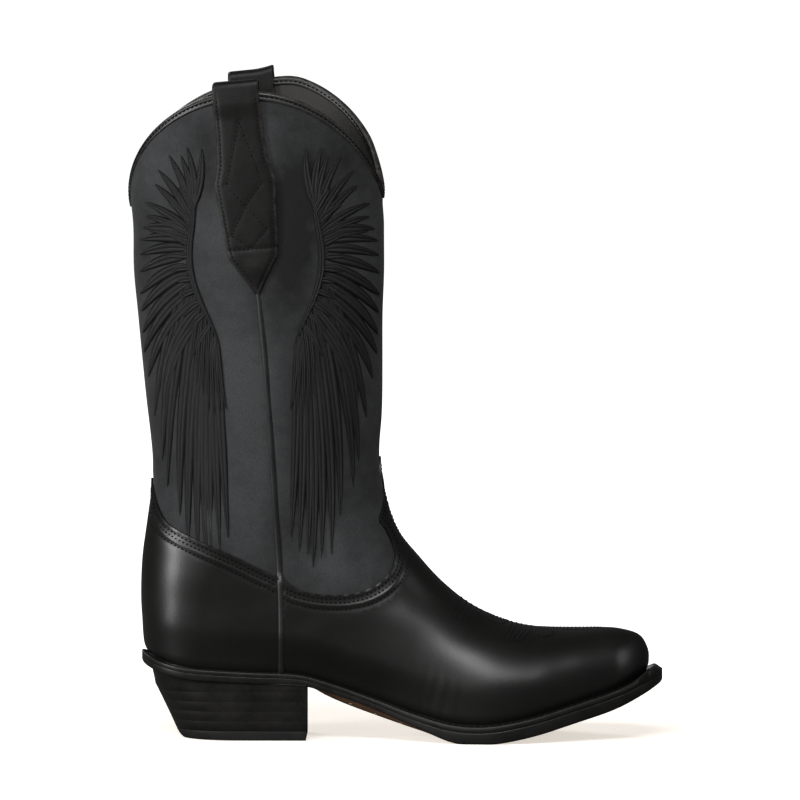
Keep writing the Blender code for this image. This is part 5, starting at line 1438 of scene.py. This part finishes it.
def wingPlan():
    # own design: leaf-shaped feathers in tiers that fan out and hang from a curved quill line.
    # Points are (outward, up) in metres from the quill line's middle; outward is away from the side seam
    def quill(t):
        return np.array([0.0015 + 0.0085 * math.sin(math.pi * t) ** 1.3 - 0.0120 * t, 0.034 - 0.074 * t])

    def jitter(size):
        return float(scratch.uniform(-size, size))

    plan = []
    for k in range(10):  # long flight feathers that hang down, the lowest layer
        u = k / 9
        root = quill(0.50 + 0.50 * u) + [0.0012 * math.sin(9 * u), 0.0]
        length = 0.062 + 0.078 * math.sin(math.pi * (0.14 + 0.62 * u)) ** 1.4 + jitter(0.005)
        tip = root + np.array([0.0235 * (1 - u) ** 1.2 - 0.0050 * u + jitter(0.001), -length])
        plan.append((root, tip, -0.085 + 0.07 * u, 0.0056 + 0.0010 * math.sin(3 * u), 0.0))
    for k in range(11):  # middle tier: out to the edge of the leg and drooping
        u = k / 10
        angle = math.radians(84 + 78 * u + jitter(4))
        length = 0.029 + 0.036 * u ** 1.3 + jitter(0.003)
        root = quill(0.20 + 0.62 * u) + [0.002, 0]
        tip = root + length * np.array([math.sin(angle), math.cos(angle)])
        tip[0] = min(tip[0], 0.0335 + 0.0012 * math.sin(5 * u))
        plan.append((root, tip, -0.13 - 0.08 * u, 0.0064, 0.00025))
    for k in range(9):  # upper tier: feathers that fan upwards and out
        u = k / 8
        angle = math.radians(-8 + 92 * u + jitter(4))
        length = 0.024 + 0.012 * math.sin(math.pi * (0.25 + 0.6 * u)) + jitter(0.002)
        root = quill(0.00 + 0.26 * u)
        tip = root + length * np.array([math.sin(angle) * 0.9, math.cos(angle)])
        plan.append((root, tip, -0.10, 0.0050, 0.00035))
    for k in range(12):  # short coverts beside the quill
        u = k / 11
        angle = math.radians(40 + 125 * u + jitter(8))
        root = quill(0.05 + 0.92 * u)
        length = 0.015 + 0.005 * math.sin(8 * u) + jitter(0.0015)
        tip = root + length * np.array([math.sin(angle), math.cos(angle)])
        plan.append((root, tip, -0.12, 0.0044, 0.00055))
    for k in range(7):  # plumes on the seam side of the quill's lower end
        u = k / 6
        root = quill(0.72 + 0.28 * u)
        tip = root + np.array([0.006 - 0.010 * u, -0.036 - 0.012 * math.sin(3 * u) + jitter(0.003)])
        plan.append((root, tip, -0.05, 0.0030, 0.00045))
    line = np.array([quill(t) for t in np.linspace(-0.02, 1.02, 30)])
    return plan, line


wingFeathers, quillLine = wingPlan()
wingPlaces = [("back", -0.1070, 0.2650, -1.0), ("front", -0.0420, 0.2650, 1.0)]
for side, word in ((outerSide, "outer"), (innerSide, "inner")):
    for end, x0, z0, hand in wingPlaces:
        verts, faces, maps = [], [], []

        def addStrip(curve, width, base, high, seed):
            p, f, uv = featherStrip(curve, width, side, base, high, seed)
            offset = sum(len(v) for v in verts)
            verts.append(p)
            faces.extend(tuple(i + offset for i in face) for face in f)
            maps.append(uv)

        for k, (root, tip, sag, width, layer) in enumerate(wingFeathers):
            start = (x0 + hand * root[0], z0 + root[1])
            stop = (x0 + hand * tip[0], z0 + tip[1])
            addStrip(bowed(start, stop, sag * -hand), width, layer - shaft["inset"],
                     wing["high"] * (1 + 0.12 * math.sin(7 * k)), k * 0.37)
        quillCurve = quillLine * [hand, 1] + [x0, z0]
        addStrip(quillCurve, 0.0040, -shaft["inset"] + 0.0007, wing["high"] * 1.1, 0.0)
        piece = newPiece(f"wing_{end}_{word}", np.vstack(verts), faces, satinThread,
                         uv=np.vstack(maps))
        piece.data.set_sharp_from_angle(angle=math.radians(80))
print("wings embroidered")


# what stays of the frame
corkBrown = hideFinish("corkBrown", "soleHide", wear=0.0)
for node, finish in (("vamp_lining", liningBlack), ("heel_lining", liningBlack), ("sock_liner", liningBlack),
                     ("insole", soleBrown), ("toe_puff", soleBrown), ("heel_stiffener", soleBrown),
                     ("forepart_filler", corkBrown), ("shank", steelBrad)):
    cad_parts[node].data.materials.clear()
    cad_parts[node].data.materials.append(finish)
pegWood = hideFinish("pegWood", "pegWood", wear=0.0)
for start, finish in (("waist_peg", pegWood), ("heel_nail", steelBrad)):
    for name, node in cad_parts.items():
        if name.startswith(start):
            node.data.materials.clear()
            node.data.materials.append(finish)


# floor, light and camera
# the floor glows for the camera: dimmer and warmer near the boot as a painted shadow, white further out
studio = {"floor": (0.80, 0.79, 0.775), "bounce": (0.10, 0.098, 0.095), "paintedShadowGlow": (0.68, 0.63, 0.57),
          "glowFar": (1.0, 1.0, 1.0), "fade": (0.14, 0.42), "world": 0.06, "white": 1.2,
          "aim": (0.0028, 0.0, 0.188), "wide": 0.4447, "away": 12.0, "turn": 1.0, "raise": 4.8,
          "lights": [  # name, place, aim, width, height, watts
              ("overFront", (-0.10, -1.65, 1.45), (0.05, 0.0, 0.05), 1.1, 0.5, 30.0),
              ("leftStrip", (-1.40, -0.85, 0.42), (-0.08, 0.0, 0.10), 0.36, 0.6, 17.0),
              ("rightStrip", (1.55, -0.65, 0.80), (0.05, 0.0, 0.1), 0.4, 1.0, 4.5),
              ("frontFill", (-1.30, -2.20, 0.95), (0.0, 0.0, 0.15), 1.2, 0.9, 11.0),
              ("backFill", (-1.3, 2.1, 1.5), (0.0, 0.0, 0.15), 1.4, 1.2, 24.0)]}
bpy.ops.mesh.primitive_plane_add(size=14.0, location=(0, 0, 0))
floor = bpy.context.object
bpy.ops.object.mode_set(mode="EDIT")
bpy.ops.mesh.subdivide(number_cuts=3)
bpy.ops.object.mode_set(mode="OBJECT")
floor.name = "studioFloor"
floorPaint = bpy.data.materials.new("floorPaint")
net, shader = tree(floorPaint)
links = net.links
mottle = addNode(net.nodes, "ShaderNodeTexNoise", (-600, 0), Scale=3.0, Detail=2.0)
where = addNode(net.nodes, "ShaderNodeTexCoord", (-900, -300)).outputs["Object"]
away = addNode(net.nodes, "ShaderNodeVectorMath", (-700, -300), operation="LENGTH")
fade = addNode(net.nodes, "ShaderNodeMapRange", (-500, -300), {1: studio["fade"][0], 2: studio["fade"][1]},
               interpolation_type="SMOOTHSTEP")
eye = addNode(net.nodes, "ShaderNodeLightPath", (-500, -600)).outputs["Is Camera Ray"]
pale = studio["floor"]
paint = mixColours(net.nodes, links, mottle.outputs[0], pale, tuple(c * 0.99 for c in pale), (-300, 0))
# painted shadow: the camera sees the floor glow, dimmer and warmer near the boot, white beyond the fade
glow = mixColours(net.nodes, links, fade.outputs[0], studio["paintedShadowGlow"], studio["glowFar"], (-300, -300))
shown = mixColours(net.nodes, links, eye, (0.0, 0.0, 0.0), glow, (-100, -300))
base = mixColours(net.nodes, links, eye, studio["bounce"], paint, (-100, 0))
wire(links, (where, mottle.inputs["Vector"]), (where, away.inputs[0]),
     (away.outputs["Value"], fade.inputs[0]), (shown, shader.inputs["Emission Color"]),
     (base, shader.inputs["Base Color"]))
for socket, value in (("Roughness", 0.85), ("Specular IOR Level", 0.1), ("Emission Strength", 1.0)):
    shader.inputs[socket].default_value = value
floor.data.materials.append(floorPaint)
floor.select_set(False)

world = bpy.data.worlds.new("studioAir")
bpy.context.scene.world = world
world.use_nodes = True
nodes, links = world.node_tree.nodes, world.node_tree.links
nodes.clear()
seen = addNode(nodes, "ShaderNodeLightPath", (-500, 200))
air = addNode(nodes, "ShaderNodeBackground", (-300, 0), Color=(1, 0.995, 0.99, 1), Strength=studio["world"])
white = addNode(nodes, "ShaderNodeBackground", (-300, -150), Color=(1, 1, 1, 1), Strength=studio["white"])
both = addNode(nodes, "ShaderNodeMixShader", (0, 0))
out = addNode(nodes, "ShaderNodeOutputWorld", (200, 0))
wire(links, (seen.outputs["Is Camera Ray"], both.inputs[0]), (air.outputs[0], both.inputs[1]),
     (white.outputs[0], both.inputs[2]), (both.outputs[0], out.inputs[0]))


def aimAt(obj, target):
    obj.rotation_euler = (Vector(target) - obj.location).to_track_quat("-Z", "Y").to_euler()


for name, place, target, wide, tall, watts in studio["lights"]:
    data = bpy.data.lights.new(name, "AREA")
    data.shape, data.size, data.size_y, data.energy = "RECTANGLE", wide, tall, watts
    lamp = bpy.data.objects.new(name, data)
    lamp.location = place
    bpy.context.scene.collection.objects.link(lamp)
    aimAt(lamp, target)

cameraData = bpy.data.cameras.new("studioCamera")
camera = bpy.data.objects.new("studioCamera", cameraData)
bpy.context.scene.collection.objects.link(camera)
turn, lift = math.radians(studio["turn"]), math.radians(studio["raise"])
aim = Vector(studio["aim"])
level = studio["away"] * math.cos(lift)
camera.location = aim + Vector((math.sin(turn) * level, -math.cos(turn) * level,
                                studio["away"] * math.sin(lift)))
aimAt(camera, aim)
cameraData.lens = 36.0 * studio["away"] / studio["wide"]
cameraData.clip_end = 60
cameraData.dof.use_dof = False
bpy.context.scene.camera = camera
bpy.context.scene.view_settings.view_transform = "Standard"
print("studio lit")
